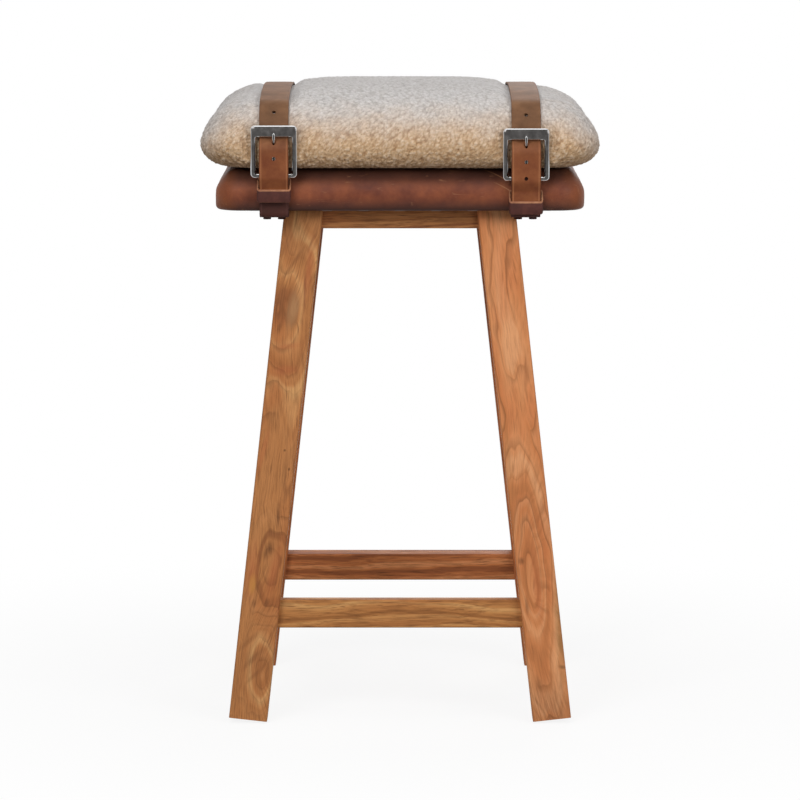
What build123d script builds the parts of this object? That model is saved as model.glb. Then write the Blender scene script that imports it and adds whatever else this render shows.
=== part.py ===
from build123d import *
import math
import os

# Bar stool: splayed wooden legs, aprons and rungs, a leather seat on a board, a loose fleece
# cushion on it, and two leather straps with metal buckles that hold the cushion down.
# Millimetres. The front faces -Y, +X is on the viewer's right, Z is up from the floor.
# The origin is on the floor under the middle of the stool.

# Legs
leg_width = 40.0
leg_edge_radius = 2.5
foot_half_width = 178.3
foot_half_depth = 170.15
foot_ease = 1.2

# Rungs and aprons
rung_bottom = 97.1
rung_height = 29.5
rung_thickness = 21.0
apron_height = 23.0
apron_thickness = 20.0
rail_edge_radius = 1.5
tenon_depth = 14.0
tenon_thickness = 8.0
tenon_shoulder = 4.0
mortise_gap = 0.1
overrun = 5.0

# Seat
seat_underside = 531.7
seat_width = 381.0
seat_depth = 304.0
seat_height = 42.5
seat_corner_radius = 28.0
seat_top_radius = 24.0
seat_bottom_radius = 5.5
cover_thickness = 1.6
fit_gap = 0.2
board_thickness = 16.0

# How far the leg frame's top stands in from the seat's edges, and clear of its leather
frame_inset_width = 71.66
frame_inset_depth = 22.12
frame_margin_gap = 1.12

# Corner blocks
block_reach = 44.0
block_height = 18.0
block_screw_radius = 2.0
block_screw_depth = 10.0
screw_gap = 0.05
screw_head_radius = 4.0
screw_head_height = 2.2

# Staples that hold the seat leather
staple_width = 10.0
staple_wire = 0.7
staple_leg = 8.0
staples_along_width = 9
staples_along_depth = 6
staple_row_share = 0.62

# Cushion
cushion_overhang_width = 16.0
cushion_overhang_depth = 13.0
cushion_height = 85.2
cushion_corner_radius = 46.0
cushion_side_draw = 3.0
cushion_skin = 6.0
soft_gap = 0.3
cushion_section_shares = (
    (0.0, 0.865, 0.86),
    (0.09, 0.943, 0.945),
    (0.22, 0.994, 0.995),
    (0.37, 1.0, 1.0),
    (0.555, 0.962, 0.962),
    (0.735, 0.908, 0.91),
    (0.86, 0.82, 0.825),
    (0.947, 0.615, 0.62),
    (1.0, 0.22, 0.22),
)

# Straps
strap_inset = 61.7
strap_width = 30.0
strap_thickness = 2.8
layer_gap = 0.3
fold_gap = 0.4
strap_bend_radius = 3.5
strap_underrun = 17.0
fold_end_gap = 1.5
shortest_line = 0.001
strap_screw_radius = 1.75
strap_screw_depth = 10.0
strap_screw_spacing = 15.0

# How the long strap lies over the cushion: corner places as shares of the cushion's swell
# and height, and the radius of each bend
strap_press = 3.2
strap_crown_drop = 6.4
strap_over_shares = ((0.961, 0.312), (0.865, 0.13), (0.525, 0.04))
rear_leave_share = 0.68
swell_low_share = 0.214
swell_high_share = 0.378
rear_leave_radius = 40.0
swell_low_radius = 25.0
swell_high_radius = 20.0
over_radii = (25.0, 30.0, 300.0)
crown_radius = 900.0
exit_radius = 6.0
tail_bend_radius = 8.0
strap_exit_below_bar = 1.5
strap_exit_drop = 8.5

# Keepers
keeper_thickness = 1.8
keeper_height = 12.0
keeper_rise = 13.0
keeper_side_gap = 0.6
keeper_corner_radius = 1.5

# Buckles
heel_radius = 2.2
bar_gap = 0.25
buckle_width = 47.6
buckle_side = 6.0
buckle_bar = 12.0
buckle_reach = 45.5
buckle_lean = 1.5
buckle_thickness = 4.4
buckle_corner_radius = 4.0
buckle_bevel = 1.0
buckle_heel_end = 3.2
prong_width = 3.2
prong_tip_lap = 4.5
prong_gap = 0.2
prong_eye_gap = 0.1
prong_eye_wall = 2.0
hole_length = 7.6
hole_width = 4.2
hole_pitch = 17.0
chape_return = 22.0
chape_settle_drop = 12.0
chape_leave_drop = 2.0
tail_shift = 0.8
chape_slot_width = 6.0
chape_slot_reach = 7.0
rivet_radius = 1.8
rivet_spacing = 16.0
rivet_drop = 17.0
prong_bend_drop = 9.0
prong_straight_drop = 1.0
prong_root_out = 1.8
hole_shift = 0.6
holes_above = 2

# The two straps differ in how far they are pulled through: buckle height, keeper height,
# tail length below the heel bar, and the number of free holes below the prong.
strap_sides = {
    "left": {"sign": -1, "heel_z": 568.7, "keeper_top": 553.5, "tail_drop": 21.0, "free_holes": 1},
    "right": {"sign": 1, "heel_z": 565.7, "keeper_top": 541.3, "tail_drop": 34.0, "free_holes": 2},
}

# Worked-out places
frame_top = seat_underside + cover_thickness + fit_gap
top_half_width = seat_width / 2 - frame_inset_width
top_half_depth = seat_depth / 2 - frame_inset_depth
side_splay_share = (foot_half_width - top_half_width) / frame_top
depth_splay_share = (foot_half_depth - top_half_depth) / frame_top
cover_margin = frame_inset_depth - frame_margin_gap
strap_offset = seat_width / 2 - strap_inset
cushion_width = seat_width + 2 * cushion_overhang_width
cushion_depth = seat_depth + 2 * cushion_overhang_depth
cushion_bottom = seat_underside + seat_height + soft_gap
seat_front = seat_depth / 2
cushion_front = cushion_depth / 2
half_strap = strap_thickness / 2
keeper_back = seat_front + soft_gap
strap_out = keeper_back + keeper_thickness + layer_gap + half_strap
return_out = strap_out + strap_thickness + layer_gap
tail_out = return_out + strap_thickness + layer_gap
keeper_front = tail_out + half_strap + layer_gap + keeper_thickness
heel_out = strap_out + half_strap + bar_gap + heel_radius
chape_radius = heel_radius + bar_gap + half_strap
return_at_heel = heel_out + chape_radius
tail_at_heel = return_at_heel + strap_thickness + layer_gap
top_bar_out = heel_out + buckle_lean
strap_behind_bar = top_bar_out - buckle_thickness / 2 - layer_gap - half_strap
prong_tip_out = top_bar_out + buckle_thickness / 2 + prong_gap + prong_width / 2
under_low = seat_underside - soft_gap - strap_thickness * 1.5 - fold_gap
under_high = under_low + strap_thickness + fold_gap
under_inner = strap_out - half_strap - strap_underrun
rear_out = seat_front + soft_gap + half_strap


def leg_centre(sign_x, sign_y, z):
    """Middle of a leg at height z: the legs lean out towards the floor both ways."""
    x = foot_half_width - leg_width / 2 - side_splay_share * z
    y = foot_half_depth - leg_width / 2 - depth_splay_share * z
    return sign_x * x, sign_y * y


def rail_plane(along, sign, z):
    """Upright plane through the middle of a front or rear rail (along X) or a side rail (along Y)."""
    x, y = leg_centre(1, 1, z)
    if along == "x":
        rise = Vector(0, -sign * depth_splay_share, 1)
        return Plane(origin=(0, sign * y, z), x_dir=(1, 0, 0), z_dir=Vector(1, 0, 0).cross(rise))
    rise = Vector(-sign * side_splay_share, 0, 1)
    return Plane(origin=(sign * x, 0, z), x_dir=(0, 1, 0), z_dir=Vector(0, 1, 0).cross(rise))


def leg_inner_plane(along, sign):
    """Plane of the two legs' inner faces that a rail meets, facing away from the middle."""
    if along == "x":
        return Plane(
            origin=(sign * (foot_half_width - leg_width), 0, 0),
            z_dir=(sign, 0, side_splay_share),
        )
    return Plane(
        origin=(0, sign * (foot_half_depth - leg_width), 0),
        z_dir=(0, sign, depth_splay_share),
    )


def tenon_length(along, z):
    """Length over both tenons of a rail at height z."""
    x, y = leg_centre(1, 1, z)
    reach = x if along == "x" else y
    return 2 * (reach - leg_width / 2 + tenon_depth)


# Each rail: name, direction, side, middle height, height, thickness
rung_middle = rung_bottom + rung_height / 2
apron_middle = frame_top - apron_height / 2
rails = []
for place, along, sign in (
    ("front", "x", -1),
    ("rear", "x", 1),
    ("left", "y", -1),
    ("right", "y", 1),
):
    rails.append((place + "_rung", along, sign, rung_middle, rung_height, rung_thickness))
    rails.append((place + "_apron", along, sign, apron_middle, apron_height, apron_thickness))


def write_part(part, name):
    """Label a finished piece and write it to its own file."""
    part.label = name
    export_step(part, "parts/" + name + ".step")


os.makedirs("parts", exist_ok=True)

# Legs, each mortised for the four rails that may meet it
for place_y, sign_y in (("front", -1), ("rear", 1)):
    for place_x, sign_x in (("left", -1), ("right", 1)):
        drop = Vector(sign_x * side_splay_share, sign_y * depth_splay_share, -1)
        leg_length = (frame_top + leg_width) * drop.length
        foot_corner = Vector(
            sign_x * (foot_half_width - leg_width + side_splay_share * foot_ease),
            sign_y * (foot_half_depth - leg_width + depth_splay_share * foot_ease),
            -foot_ease,
        )
        with BuildPart() as leg:
            with BuildSketch(Plane.XY.offset(frame_top)):
                with Locations(leg_centre(sign_x, sign_y, frame_top)):
                    Rectangle(leg_width, leg_width)
            extrude(amount=leg_length, dir=drop)
            fillet(leg.edges().filter_by(lambda edge: edge.length > leg_length * 0.9), leg_edge_radius)
            split(bisect_by=Plane(origin=foot_corner, z_dir=drop * -1), keep=Keep.TOP)
            split(bisect_by=Plane.XY, keep=Keep.TOP)
            for name, along, sign, middle, height, thickness in rails:
                with BuildSketch(rail_plane(along, sign, middle)):
                    Rectangle(
                        tenon_length(along, middle) + 2 * mortise_gap,
                        height - 2 * tenon_shoulder + 2 * mortise_gap,
                    )
                extrude(amount=tenon_thickness / 2 + mortise_gap, both=True, mode=Mode.SUBTRACT)
        write_part(leg.part, place_y + "_" + place_x + "_leg")

# Rungs and aprons, cut to the legs' lean, with a tenon at each end
for name, along, sign, middle, height, thickness in rails:
    plane = rail_plane(along, sign, middle)
    with BuildPart() as rail:
        with BuildSketch(plane):
            Rectangle(tenon_length(along, middle) + 2 * leg_width, height)
        extrude(amount=thickness / 2, both=True)
        long_edge = tenon_length(along, middle)
        fillet(rail.edges().filter_by(lambda edge: edge.length > long_edge), rail_edge_radius)
        split(bisect_by=leg_inner_plane(along, 1), keep=Keep.BOTTOM)
        split(bisect_by=leg_inner_plane(along, -1), keep=Keep.BOTTOM)
        with BuildSketch(plane):
            Rectangle(tenon_length(along, middle), height - 2 * tenon_shoulder)
        extrude(amount=tenon_thickness / 2, both=True)
        split(bisect_by=Plane.XY.offset(frame_top), keep=Keep.BOTTOM)
    write_part(rail.part, name)


def block_places():
    """Middle of each corner block's screw, in the horizontal plane of the frame's top."""
    places = []
    for sign_x in (-1, 1):
        for sign_y in (-1, 1):
            x, y = leg_centre(1, 1, frame_top)
            inner = leg_width / 2 + block_reach / 4
            places.append((sign_x, sign_y, sign_x * (x - inner), sign_y * (y - inner)))
    return places


# Corner blocks fill the angle between two aprons and fit round the leg's inner corner
with BuildPart() as corner_blocks:
    for sign_x, sign_y, screw_x, screw_y in block_places():
        x, y = leg_centre(1, 1, frame_top)
        leg_x = x - leg_width / 2
        leg_y = y - leg_width / 2
        apron_x = x - apron_thickness / 2 - mortise_gap
        apron_y = y - apron_thickness / 2 - mortise_gap
        corners = [
            (apron_x, leg_y - block_reach),
            (apron_x, leg_y - mortise_gap),
            (leg_x - mortise_gap, leg_y - mortise_gap),
            (leg_x - mortise_gap, apron_y),
            (leg_x - block_reach, apron_y),
        ]
        corners = [(sign_x * corner_x, sign_y * corner_y) for corner_x, corner_y in corners]
        drop = Vector(sign_x * side_splay_share, sign_y * depth_splay_share, -1)
        with BuildSketch(Plane.XY.offset(frame_top)):
            Polygon(*corners, align=None)
        extrude(amount=block_height * drop.length, dir=drop)
    for sign_x, sign_y, screw_x, screw_y in block_places():
        with BuildSketch(Plane.XY.offset(frame_top + overrun)):
            with Locations((screw_x, screw_y)):
                Circle(block_screw_radius + screw_gap)
        extrude(amount=-(block_height + 2 * overrun), mode=Mode.SUBTRACT)
write_part(corner_blocks.part, "corner_blocks")


def screws(places, head_z, radius, length):
    """Upright screws driven up from head_z: a pan head and a shank, one solid each."""
    with BuildPart() as group:
        with BuildSketch(Plane.XY.offset(head_z)):
            with Locations(*places):
                Circle(screw_head_radius)
        extrude(amount=-screw_head_height)
        with BuildSketch(Plane.XY.offset(head_z - screw_head_height / 2)):
            with Locations(*places):
                Circle(radius)
        extrude(amount=length + screw_head_height / 2)
    return group.part


block_screw_places = [(screw_x, screw_y) for _, _, screw_x, screw_y in block_places()]
block_screws = screws(
    block_screw_places,
    frame_top - block_height,
    block_screw_radius,
    block_height + block_screw_depth,
)
write_part(block_screws, "corner_block_screws")

# Each strap end is held under the seat by two screws, front and rear
front_screw_y = -(strap_out - half_strap - strap_underrun / 2)
rear_screw_y = rear_out - half_strap - strap_underrun / 2
strap_screw_places = {}
for side, setting in strap_sides.items():
    lane = setting["sign"] * strap_offset
    strap_screw_places[side] = [
        (lane + shift * strap_screw_spacing / 2, row_y)
        for shift in (-1, 1)
        for row_y in (front_screw_y, rear_screw_y)
    ]
all_strap_screws = strap_screw_places["left"] + strap_screw_places["right"]
under_face = under_low - half_strap
strap_screw_length = frame_top - under_face + strap_screw_depth
for side in strap_sides:
    group = screws(strap_screw_places[side], under_face, strap_screw_radius, strap_screw_length)
    write_part(group, side + "_strap_screws")


def strap_screw_circles(z):
    """Sketch of the strap screws' clearance holes at height z."""
    with BuildSketch(Plane.XY.offset(z)) as circles:
        with Locations(*all_strap_screws):
            Circle(strap_screw_radius + screw_gap)
    return circles.sketch


def seat_form(inset):
    """The seat's padded outer form drawn in by inset all round."""
    with BuildPart() as form:
        with BuildSketch(Plane.XY.offset(seat_underside + inset)):
            RectangleRounded(seat_width - 2 * inset, seat_depth - 2 * inset, seat_corner_radius - inset)
        extrude(amount=seat_height - 2 * inset)
        fillet(form.faces().sort_by(Axis.Z)[-1].edges(), seat_top_radius - inset)
        fillet(form.faces().sort_by(Axis.Z)[0].edges(), seat_bottom_radius - inset)
    return form.part


inner_inset = cover_thickness + fit_gap
board_top = frame_top + board_thickness


def staple_rows():
    """Middle and direction of each staple along the leather's turned-under margin."""
    inset = cover_margin * staple_row_share
    row_x = seat_width / 2 - inset
    row_y = seat_depth / 2 - inset
    step_x = 2 * (row_x - seat_corner_radius) / (staples_along_width - 1)
    step_y = 2 * (row_y - seat_corner_radius) / (staples_along_depth - 1)
    rows = []
    for index in range(staples_along_width):
        x = (index - (staples_along_width - 1) / 2) * step_x
        if abs(abs(x) - strap_offset) > strap_width / 2 + staple_width / 2:
            rows += [(x, row_y, "x"), (x, -row_y, "x")]
    for index in range(staples_along_depth):
        y = (index - (staples_along_depth - 1) / 2) * step_y
        rows += [(row_x, y, "y"), (-row_x, y, "y")]
    return rows


def staple_pins(z, grow):
    """Sketch at height z of both legs of every staple, grown by grow all round."""
    side = staple_wire + 2 * grow
    reach = (staple_width - staple_wire) / 2
    with BuildSketch(Plane.XY.offset(z)) as pins:
        for x, y, along in staple_rows():
            step_x, step_y = (reach, 0) if along == "x" else (0, reach)
            with Locations((x - step_x, y - step_y), (x + step_x, y + step_y)):
                Rectangle(side, side)
    return pins.sketch


# Plywood board that carries the pad
with BuildPart() as seat_board:
    add(seat_form(inner_inset))
    split(bisect_by=Plane.XY.offset(board_top), keep=Keep.BOTTOM)
    extrude(strap_screw_circles(frame_top), amount=strap_screw_depth, mode=Mode.SUBTRACT)
    extrude(staple_pins(frame_top, screw_gap), amount=staple_leg, mode=Mode.SUBTRACT)
    with BuildSketch(Plane.XY.offset(frame_top)):
        with Locations(*block_screw_places):
            Circle(block_screw_radius + screw_gap)
    extrude(amount=block_screw_depth, mode=Mode.SUBTRACT)
write_part(seat_board.part, "seat_board")

# Foam pad on the board
with BuildPart() as seat_foam:
    add(seat_form(inner_inset))
    split(bisect_by=Plane.XY.offset(board_top), keep=Keep.TOP)
write_part(seat_foam.part, "seat_foam")

# Leather wrapped over the pad and turned under the board
with BuildPart() as seat_cover:
    add(seat_form(0))
    add(seat_form(cover_thickness), mode=Mode.SUBTRACT)
    with BuildSketch(Plane.XY.offset(seat_underside)):
        Rectangle(seat_width - 2 * cover_margin, seat_depth - 2 * cover_margin)
    extrude(amount=cover_thickness, mode=Mode.SUBTRACT)
    extrude(strap_screw_circles(seat_underside), amount=seat_bottom_radius, mode=Mode.SUBTRACT)
    extrude(staple_pins(seat_underside, screw_gap), amount=cover_thickness, mode=Mode.SUBTRACT)
write_part(seat_cover.part, "seat_cover")

# Staples through the leather's margin into the board
staple_rise = frame_top + staple_leg - seat_underside - screw_gap
with BuildPart() as cover_staples:
    with BuildSketch(Plane.XY.offset(seat_underside)):
        for x, y, along in staple_rows():
            with Locations((x, y)):
                if along == "x":
                    Rectangle(staple_width, staple_wire)
                else:
                    Rectangle(staple_wire, staple_width)
    extrude(amount=-staple_wire)
    extrude(staple_pins(seat_underside, 0), amount=staple_rise)
write_part(cover_staples.part, "cover_staples")


def turn_at(before, corner, after):
    """Signed angle that a path turns through at a corner, positive to the left."""
    heading_in = math.atan2(corner[1] - before[1], corner[0] - before[0])
    heading_out = math.atan2(after[1] - corner[1], after[0] - corner[0])
    return math.remainder(heading_out - heading_in, math.tau)


def offset_path(points, radii, distance):
    """The same path moved to its left by distance, with mitred corners and radii to match."""
    moved = []
    for index, point in enumerate(points):
        before = points[max(index - 1, 0)]
        after = points[min(index + 1, len(points) - 1)]
        if index == 0 or index == len(points) - 1:
            heading = math.atan2(after[1] - before[1], after[0] - before[0])
            half_turn = 0
        else:
            half_turn = turn_at(before, point, after) / 2
            heading = math.atan2(point[1] - before[1], point[0] - before[0]) + half_turn
        reach = distance / math.cos(half_turn)
        moved.append((point[0] - reach * math.sin(heading), point[1] + reach * math.cos(heading)))
    new_radii = []
    for index, radius in enumerate(radii):
        turn = turn_at(*points[index:index + 3])
        new_radii.append(radius - distance * math.copysign(1, turn) if radius else 0)
    return moved, new_radii


def path_lines(points, radii):
    """Straight runs joined by tangent arcs at the corners that have a radius."""
    start = Vector(*points[0])
    lines = []
    for index, radius in enumerate(radii):
        before, corner, after = (Vector(*point) for point in points[index:index + 3])
        if radius == 0:
            lines.append(Line(start, corner, mode=Mode.PRIVATE))
            start = corner
            continue
        turn = abs(turn_at(*points[index:index + 3]))
        reach = radius * math.tan(turn / 2)
        arc_start = corner - (corner - before).normalized() * reach
        arc_end = corner + (after - corner).normalized() * reach
        inward = ((before - corner).normalized() + (after - corner).normalized()).normalized()
        arc_middle = corner + inward * radius * (1 / math.cos(turn / 2) - 1)
        if (arc_start - start).length > shortest_line:
            lines.append(Line(start, arc_start, mode=Mode.PRIVATE))
        lines.append(ThreePointArc(arc_start, arc_middle, arc_end, mode=Mode.PRIVATE))
        start = arc_end
    lines.append(Line(start, Vector(*points[-1]), mode=Mode.PRIVATE))
    return lines


def band_face(lane, points, radii, thickness):
    """Side view of a strap of even thickness along a path, on the lane's upright plane."""
    left_points, left_radii = offset_path(points, radii, thickness / 2)
    right_points, right_radii = offset_path(points, radii, -thickness / 2)
    with BuildSketch(Plane.YZ.offset(lane)) as band:
        with BuildLine():
            add(path_lines(left_points, left_radii))
            add(path_lines(right_points, right_radii))
            Line(left_points[0], right_points[0])
            Line(left_points[-1], right_points[-1])
        make_face()
    return band.sketch


def over_path(setting):
    """The long strap from where it leaves the seat's rear to just behind the buckle's top bar."""
    crest_z = cushion_bottom + cushion_height - strap_crown_drop
    swell = cushion_front - strap_press
    rear = [(swell * out, crest_z - cushion_height * down) for out, down in strap_over_shares]
    front = [(-y, z) for y, z in reversed(rear)]
    bar_low = setting["heel_z"] + buckle_reach - buckle_bar / 2
    points = [
        (rear_out, seat_underside + seat_height * rear_leave_share),
        (swell, cushion_bottom + cushion_height * swell_low_share),
        (swell, cushion_bottom + cushion_height * swell_high_share),
        *rear,
        (0, crest_z),
        *front,
        (-strap_behind_bar, bar_low - strap_exit_below_bar),
    ]
    radii = [
        rear_leave_radius,
        swell_low_radius,
        swell_high_radius,
        *over_radii,
        crown_radius,
        *reversed(over_radii),
        exit_radius,
    ]
    return points, radii


def long_strap_path(setting):
    """Rear fold, up the back, over the cushion, behind the top bar and down to the tail's end."""
    heel_z = setting["heel_z"]
    over_points, over_radii_list = over_path(setting)
    exit_z = over_points[-1][1]
    rear_inner = rear_out - half_strap - strap_underrun
    points = [
        (rear_out - half_strap - fold_end_gap, under_high),
        (rear_inner, under_high),
        (rear_inner, under_low),
        (rear_out, under_low),
        *over_points,
        (-tail_at_heel, exit_z - strap_exit_drop),
        (-tail_at_heel, heel_z - chape_leave_drop - tail_shift),
        (-tail_out, heel_z - chape_settle_drop - tail_shift),
        (-tail_out, heel_z - setting["tail_drop"]),
    ]
    radii = [0, 0, strap_bend_radius, *over_radii_list]
    radii += [tail_bend_radius, tail_bend_radius, tail_bend_radius]
    return points, radii


def buckle_strap_path(setting):
    """Return end, round the buckle's heel bar, down the seat's front and folded under it."""
    heel_z = setting["heel_z"]
    loop_top = heel_z + chape_radius
    points = [
        (-return_out, heel_z - chape_return),
        (-return_out, heel_z - chape_settle_drop),
        (-return_at_heel, heel_z - chape_leave_drop),
        (-return_at_heel, loop_top),
        (-strap_out, loop_top),
        (-strap_out, under_low),
        (-under_inner, under_low),
        (-under_inner, under_high),
        (-(strap_out - half_strap - fold_end_gap), under_high),
    ]
    radii = [tail_bend_radius, tail_bend_radius, chape_radius, chape_radius, strap_bend_radius, 0, 0]
    return points, radii


def prong_path(setting):
    """From the eye on the heel bar up behind the tail, through its hole and onto the top bar."""
    heel_z = setting["heel_z"]
    bar_low = heel_z + buckle_reach - buckle_bar / 2
    points = [
        (-(heel_out + prong_root_out), heel_z),
        (-(heel_out + prong_root_out), bar_low - prong_bend_drop),
        (-prong_tip_out, bar_low - prong_straight_drop),
        (-prong_tip_out, bar_low + prong_tip_lap),
    ]
    return points, [tail_bend_radius, exit_radius]


def crossing_height(setting):
    """Height at which the prong's sloping run and the strap's sloping run cross."""
    strap_points, _ = long_strap_path(setting)
    strap_high, strap_low = strap_points[-5], strap_points[-4]
    prong_points, _ = prong_path(setting)
    prong_low, prong_high = prong_points[1], prong_points[2]
    strap_lean = (strap_low[0] - strap_high[0]) / (strap_low[1] - strap_high[1])
    prong_lean = (prong_high[0] - prong_low[0]) / (prong_high[1] - prong_low[1])
    gap = strap_high[0] - strap_lean * strap_high[1] - prong_low[0] + prong_lean * prong_low[1]
    return gap / (prong_lean - strap_lean)


def strap_holes(setting):
    """Centre and heading of each punched hole, stepped along the strap both ways from the prong."""
    points, _ = long_strap_path(setting)
    height = crossing_height(setting)
    first = len(points) - 5
    start = Vector(*points[first])
    step = Vector(*points[first + 1]) - start
    prong_distance = (height - start.Y) / step.Y * step.length + hole_shift
    holes = []
    for count in range(-holes_above, setting["free_holes"] + 1):
        distance = prong_distance + count * hole_pitch
        index = first
        while distance < 0:
            index -= 1
            distance += (Vector(*points[index + 1]) - Vector(*points[index])).length
        while distance > (Vector(*points[index + 1]) - Vector(*points[index])).length:
            distance -= (Vector(*points[index + 1]) - Vector(*points[index])).length
            index += 1
        heading = (Vector(*points[index + 1]) - Vector(*points[index])).normalized()
        holes.append((Vector(*points[index]) + heading * distance, heading))
    return holes


for side, setting in strap_sides.items():
    lane = setting["sign"] * strap_offset
    heel_z = setting["heel_z"]
    screw_circles = strap_screw_circles(under_low - strap_thickness)
    screw_hole_rise = seat_underside - under_low + strap_thickness

    # Long strap, punched, with its tail under the keeper
    long_points, long_radii = long_strap_path(setting)
    with BuildPart() as long_strap:
        extrude(band_face(lane, long_points, long_radii, strap_thickness), amount=strap_width / 2, both=True)
        for centre, heading in strap_holes(setting):
            hole_plane = Plane(
                origin=(lane, centre.X, centre.Y),
                x_dir=(0, heading.X, heading.Y),
                z_dir=(0, -heading.Y, heading.X),
            )
            with BuildSketch(hole_plane):
                SlotOverall(hole_length, hole_width)
            extrude(amount=strap_thickness * 2, both=True, mode=Mode.SUBTRACT)
        extrude(screw_circles, amount=screw_hole_rise, mode=Mode.SUBTRACT)
    write_part(long_strap.part, side + "_long_strap")

    # Buckle strap, slotted for the prong where it turns round the heel bar, with two flush rivets
    short_points, short_radii = buckle_strap_path(setting)
    rivet_z = heel_z - rivet_drop
    with BuildPart() as buckle_strap:
        extrude(band_face(lane, short_points, short_radii, strap_thickness), amount=strap_width / 2, both=True)
        with BuildSketch(Plane.XZ):
            with Locations((lane, heel_z)):
                Rectangle(chape_slot_width, 2 * chape_slot_reach)
        extrude(amount=seat_depth, mode=Mode.SUBTRACT)
        extrude(screw_circles, amount=screw_hole_rise, mode=Mode.SUBTRACT)
        with BuildSketch(Plane.XZ):
            with Locations((lane - rivet_spacing / 2, rivet_z), (lane + rivet_spacing / 2, rivet_z)):
                Circle(rivet_radius + screw_gap)
        extrude(amount=seat_depth, mode=Mode.SUBTRACT)
    write_part(buckle_strap.part, side + "_buckle_strap")

    with BuildPart() as rivets:
        with BuildSketch(Plane.XZ.offset(strap_out - half_strap)):
            with Locations((lane - rivet_spacing / 2, rivet_z), (lane + rivet_spacing / 2, rivet_z)):
                Circle(rivet_radius)
        extrude(amount=return_out - strap_out + strap_thickness)
    write_part(rivets.part, side + "_chape_rivets")

    # Leather keeper: a loop whose top and bottom edges rise towards the seat
    loop_depth = keeper_front - keeper_back
    loop_width = strap_width + 2 * (keeper_side_gap + keeper_thickness)
    loop_middle = (lane, -(keeper_front + keeper_back) / 2)
    loop_top = setting["keeper_top"]
    loop_slope = Vector(0, -keeper_rise, loop_depth)
    with BuildPart() as keeper:
        with BuildSketch(Plane.XY.offset(loop_top - keeper_height - overrun)):
            with Locations(loop_middle):
                RectangleRounded(loop_width, loop_depth, keeper_corner_radius)
                Rectangle(
                    loop_width - 2 * keeper_thickness,
                    loop_depth - 2 * keeper_thickness,
                    mode=Mode.SUBTRACT,
                )
        extrude(amount=keeper_height + keeper_rise + 2 * overrun)
        split(bisect_by=Plane(origin=(lane, -keeper_front, loop_top), z_dir=loop_slope), keep=Keep.BOTTOM)
        split(
            bisect_by=Plane(origin=(lane, -keeper_front, loop_top - keeper_height), z_dir=loop_slope),
            keep=Keep.TOP,
        )
    write_part(keeper.part, side + "_keeper")

    # Buckle frame: a flat plate bent to nothing, its heel bar round
    frame_rise = Vector(0, -buckle_lean, buckle_reach)
    frame_plane = Plane(
        origin=(lane, -heel_out, heel_z),
        x_dir=(1, 0, 0),
        z_dir=Vector(1, 0, 0).cross(frame_rise),
    )
    frame_height = buckle_reach + buckle_bar / 2 + buckle_heel_end
    window_height = buckle_reach - buckle_bar / 2 + buckle_heel_end
    with BuildPart() as buckle_frame:
        with BuildSketch(frame_plane):
            with Locations((0, frame_height / 2 - buckle_heel_end)):
                RectangleRounded(buckle_width, frame_height, buckle_corner_radius)
            with Locations((0, window_height / 2 - buckle_heel_end - overrun / 2)):
                Rectangle(
                    buckle_width - 2 * buckle_side,
                    window_height + overrun,
                    mode=Mode.SUBTRACT,
                )
        extrude(amount=buckle_thickness / 2, both=True)
        front_face = buckle_frame.faces().sort_by(Axis((lane, -heel_out, heel_z), frame_plane.z_dir))[-1]
        chamfer(front_face.edges(), buckle_bevel)
        with BuildSketch(Plane.YZ.offset(lane)):
            with Locations((-heel_out, heel_z)):
                Circle(heel_radius)
        extrude(amount=(buckle_width - buckle_side) / 2, both=True)
    write_part(buckle_frame.part, side + "_buckle_frame")

    # Prong: an eye round the heel bar and a bent bar whose tip lies on the top bar
    prong_points, prong_radii = prong_path(setting)
    with BuildPart() as prong:
        extrude(band_face(lane, prong_points, prong_radii, prong_width), amount=prong_width / 2, both=True)
        with BuildSketch(Plane.YZ.offset(lane)):
            with Locations((-heel_out, heel_z)):
                Circle(heel_radius + prong_eye_gap + prong_eye_wall)
        extrude(amount=prong_width / 2, both=True)
        with BuildSketch(Plane.YZ.offset(lane)):
            with Locations((-heel_out, heel_z)):
                Circle(heel_radius + prong_eye_gap)
        extrude(amount=prong_width, both=True, mode=Mode.SUBTRACT)
    write_part(prong.part, side + "_buckle_prong")


def cushion_section(z, half_width, half_depth, corner, draw):
    """Level outline of the cushion: round corners, and sides drawn in by draw at their middles."""
    diagonal = corner * (1 - math.sqrt(0.5))
    side_x = half_width - corner
    side_y = half_depth - corner
    with BuildSketch(Plane.XY.offset(z)) as section:
        with BuildLine():
            ThreePointArc((-side_x, -half_depth), (0, -half_depth + draw), (side_x, -half_depth))
            ThreePointArc(
                (side_x, -half_depth),
                (half_width - diagonal, -half_depth + diagonal),
                (half_width, -side_y),
            )
            ThreePointArc((half_width, -side_y), (half_width - draw, 0), (half_width, side_y))
            ThreePointArc(
                (half_width, side_y),
                (half_width - diagonal, half_depth - diagonal),
                (side_x, half_depth),
            )
            ThreePointArc((side_x, half_depth), (0, half_depth - draw), (-side_x, half_depth))
            ThreePointArc(
                (-side_x, half_depth),
                (-half_width + diagonal, half_depth - diagonal),
                (-half_width, side_y),
            )
            ThreePointArc((-half_width, side_y), (-half_width + draw, 0), (-half_width, -side_y))
            ThreePointArc(
                (-half_width, -side_y),
                (-half_width + diagonal, -half_depth + diagonal),
                (-side_x, -half_depth),
            )
        make_face()
    return section.sketch


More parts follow.
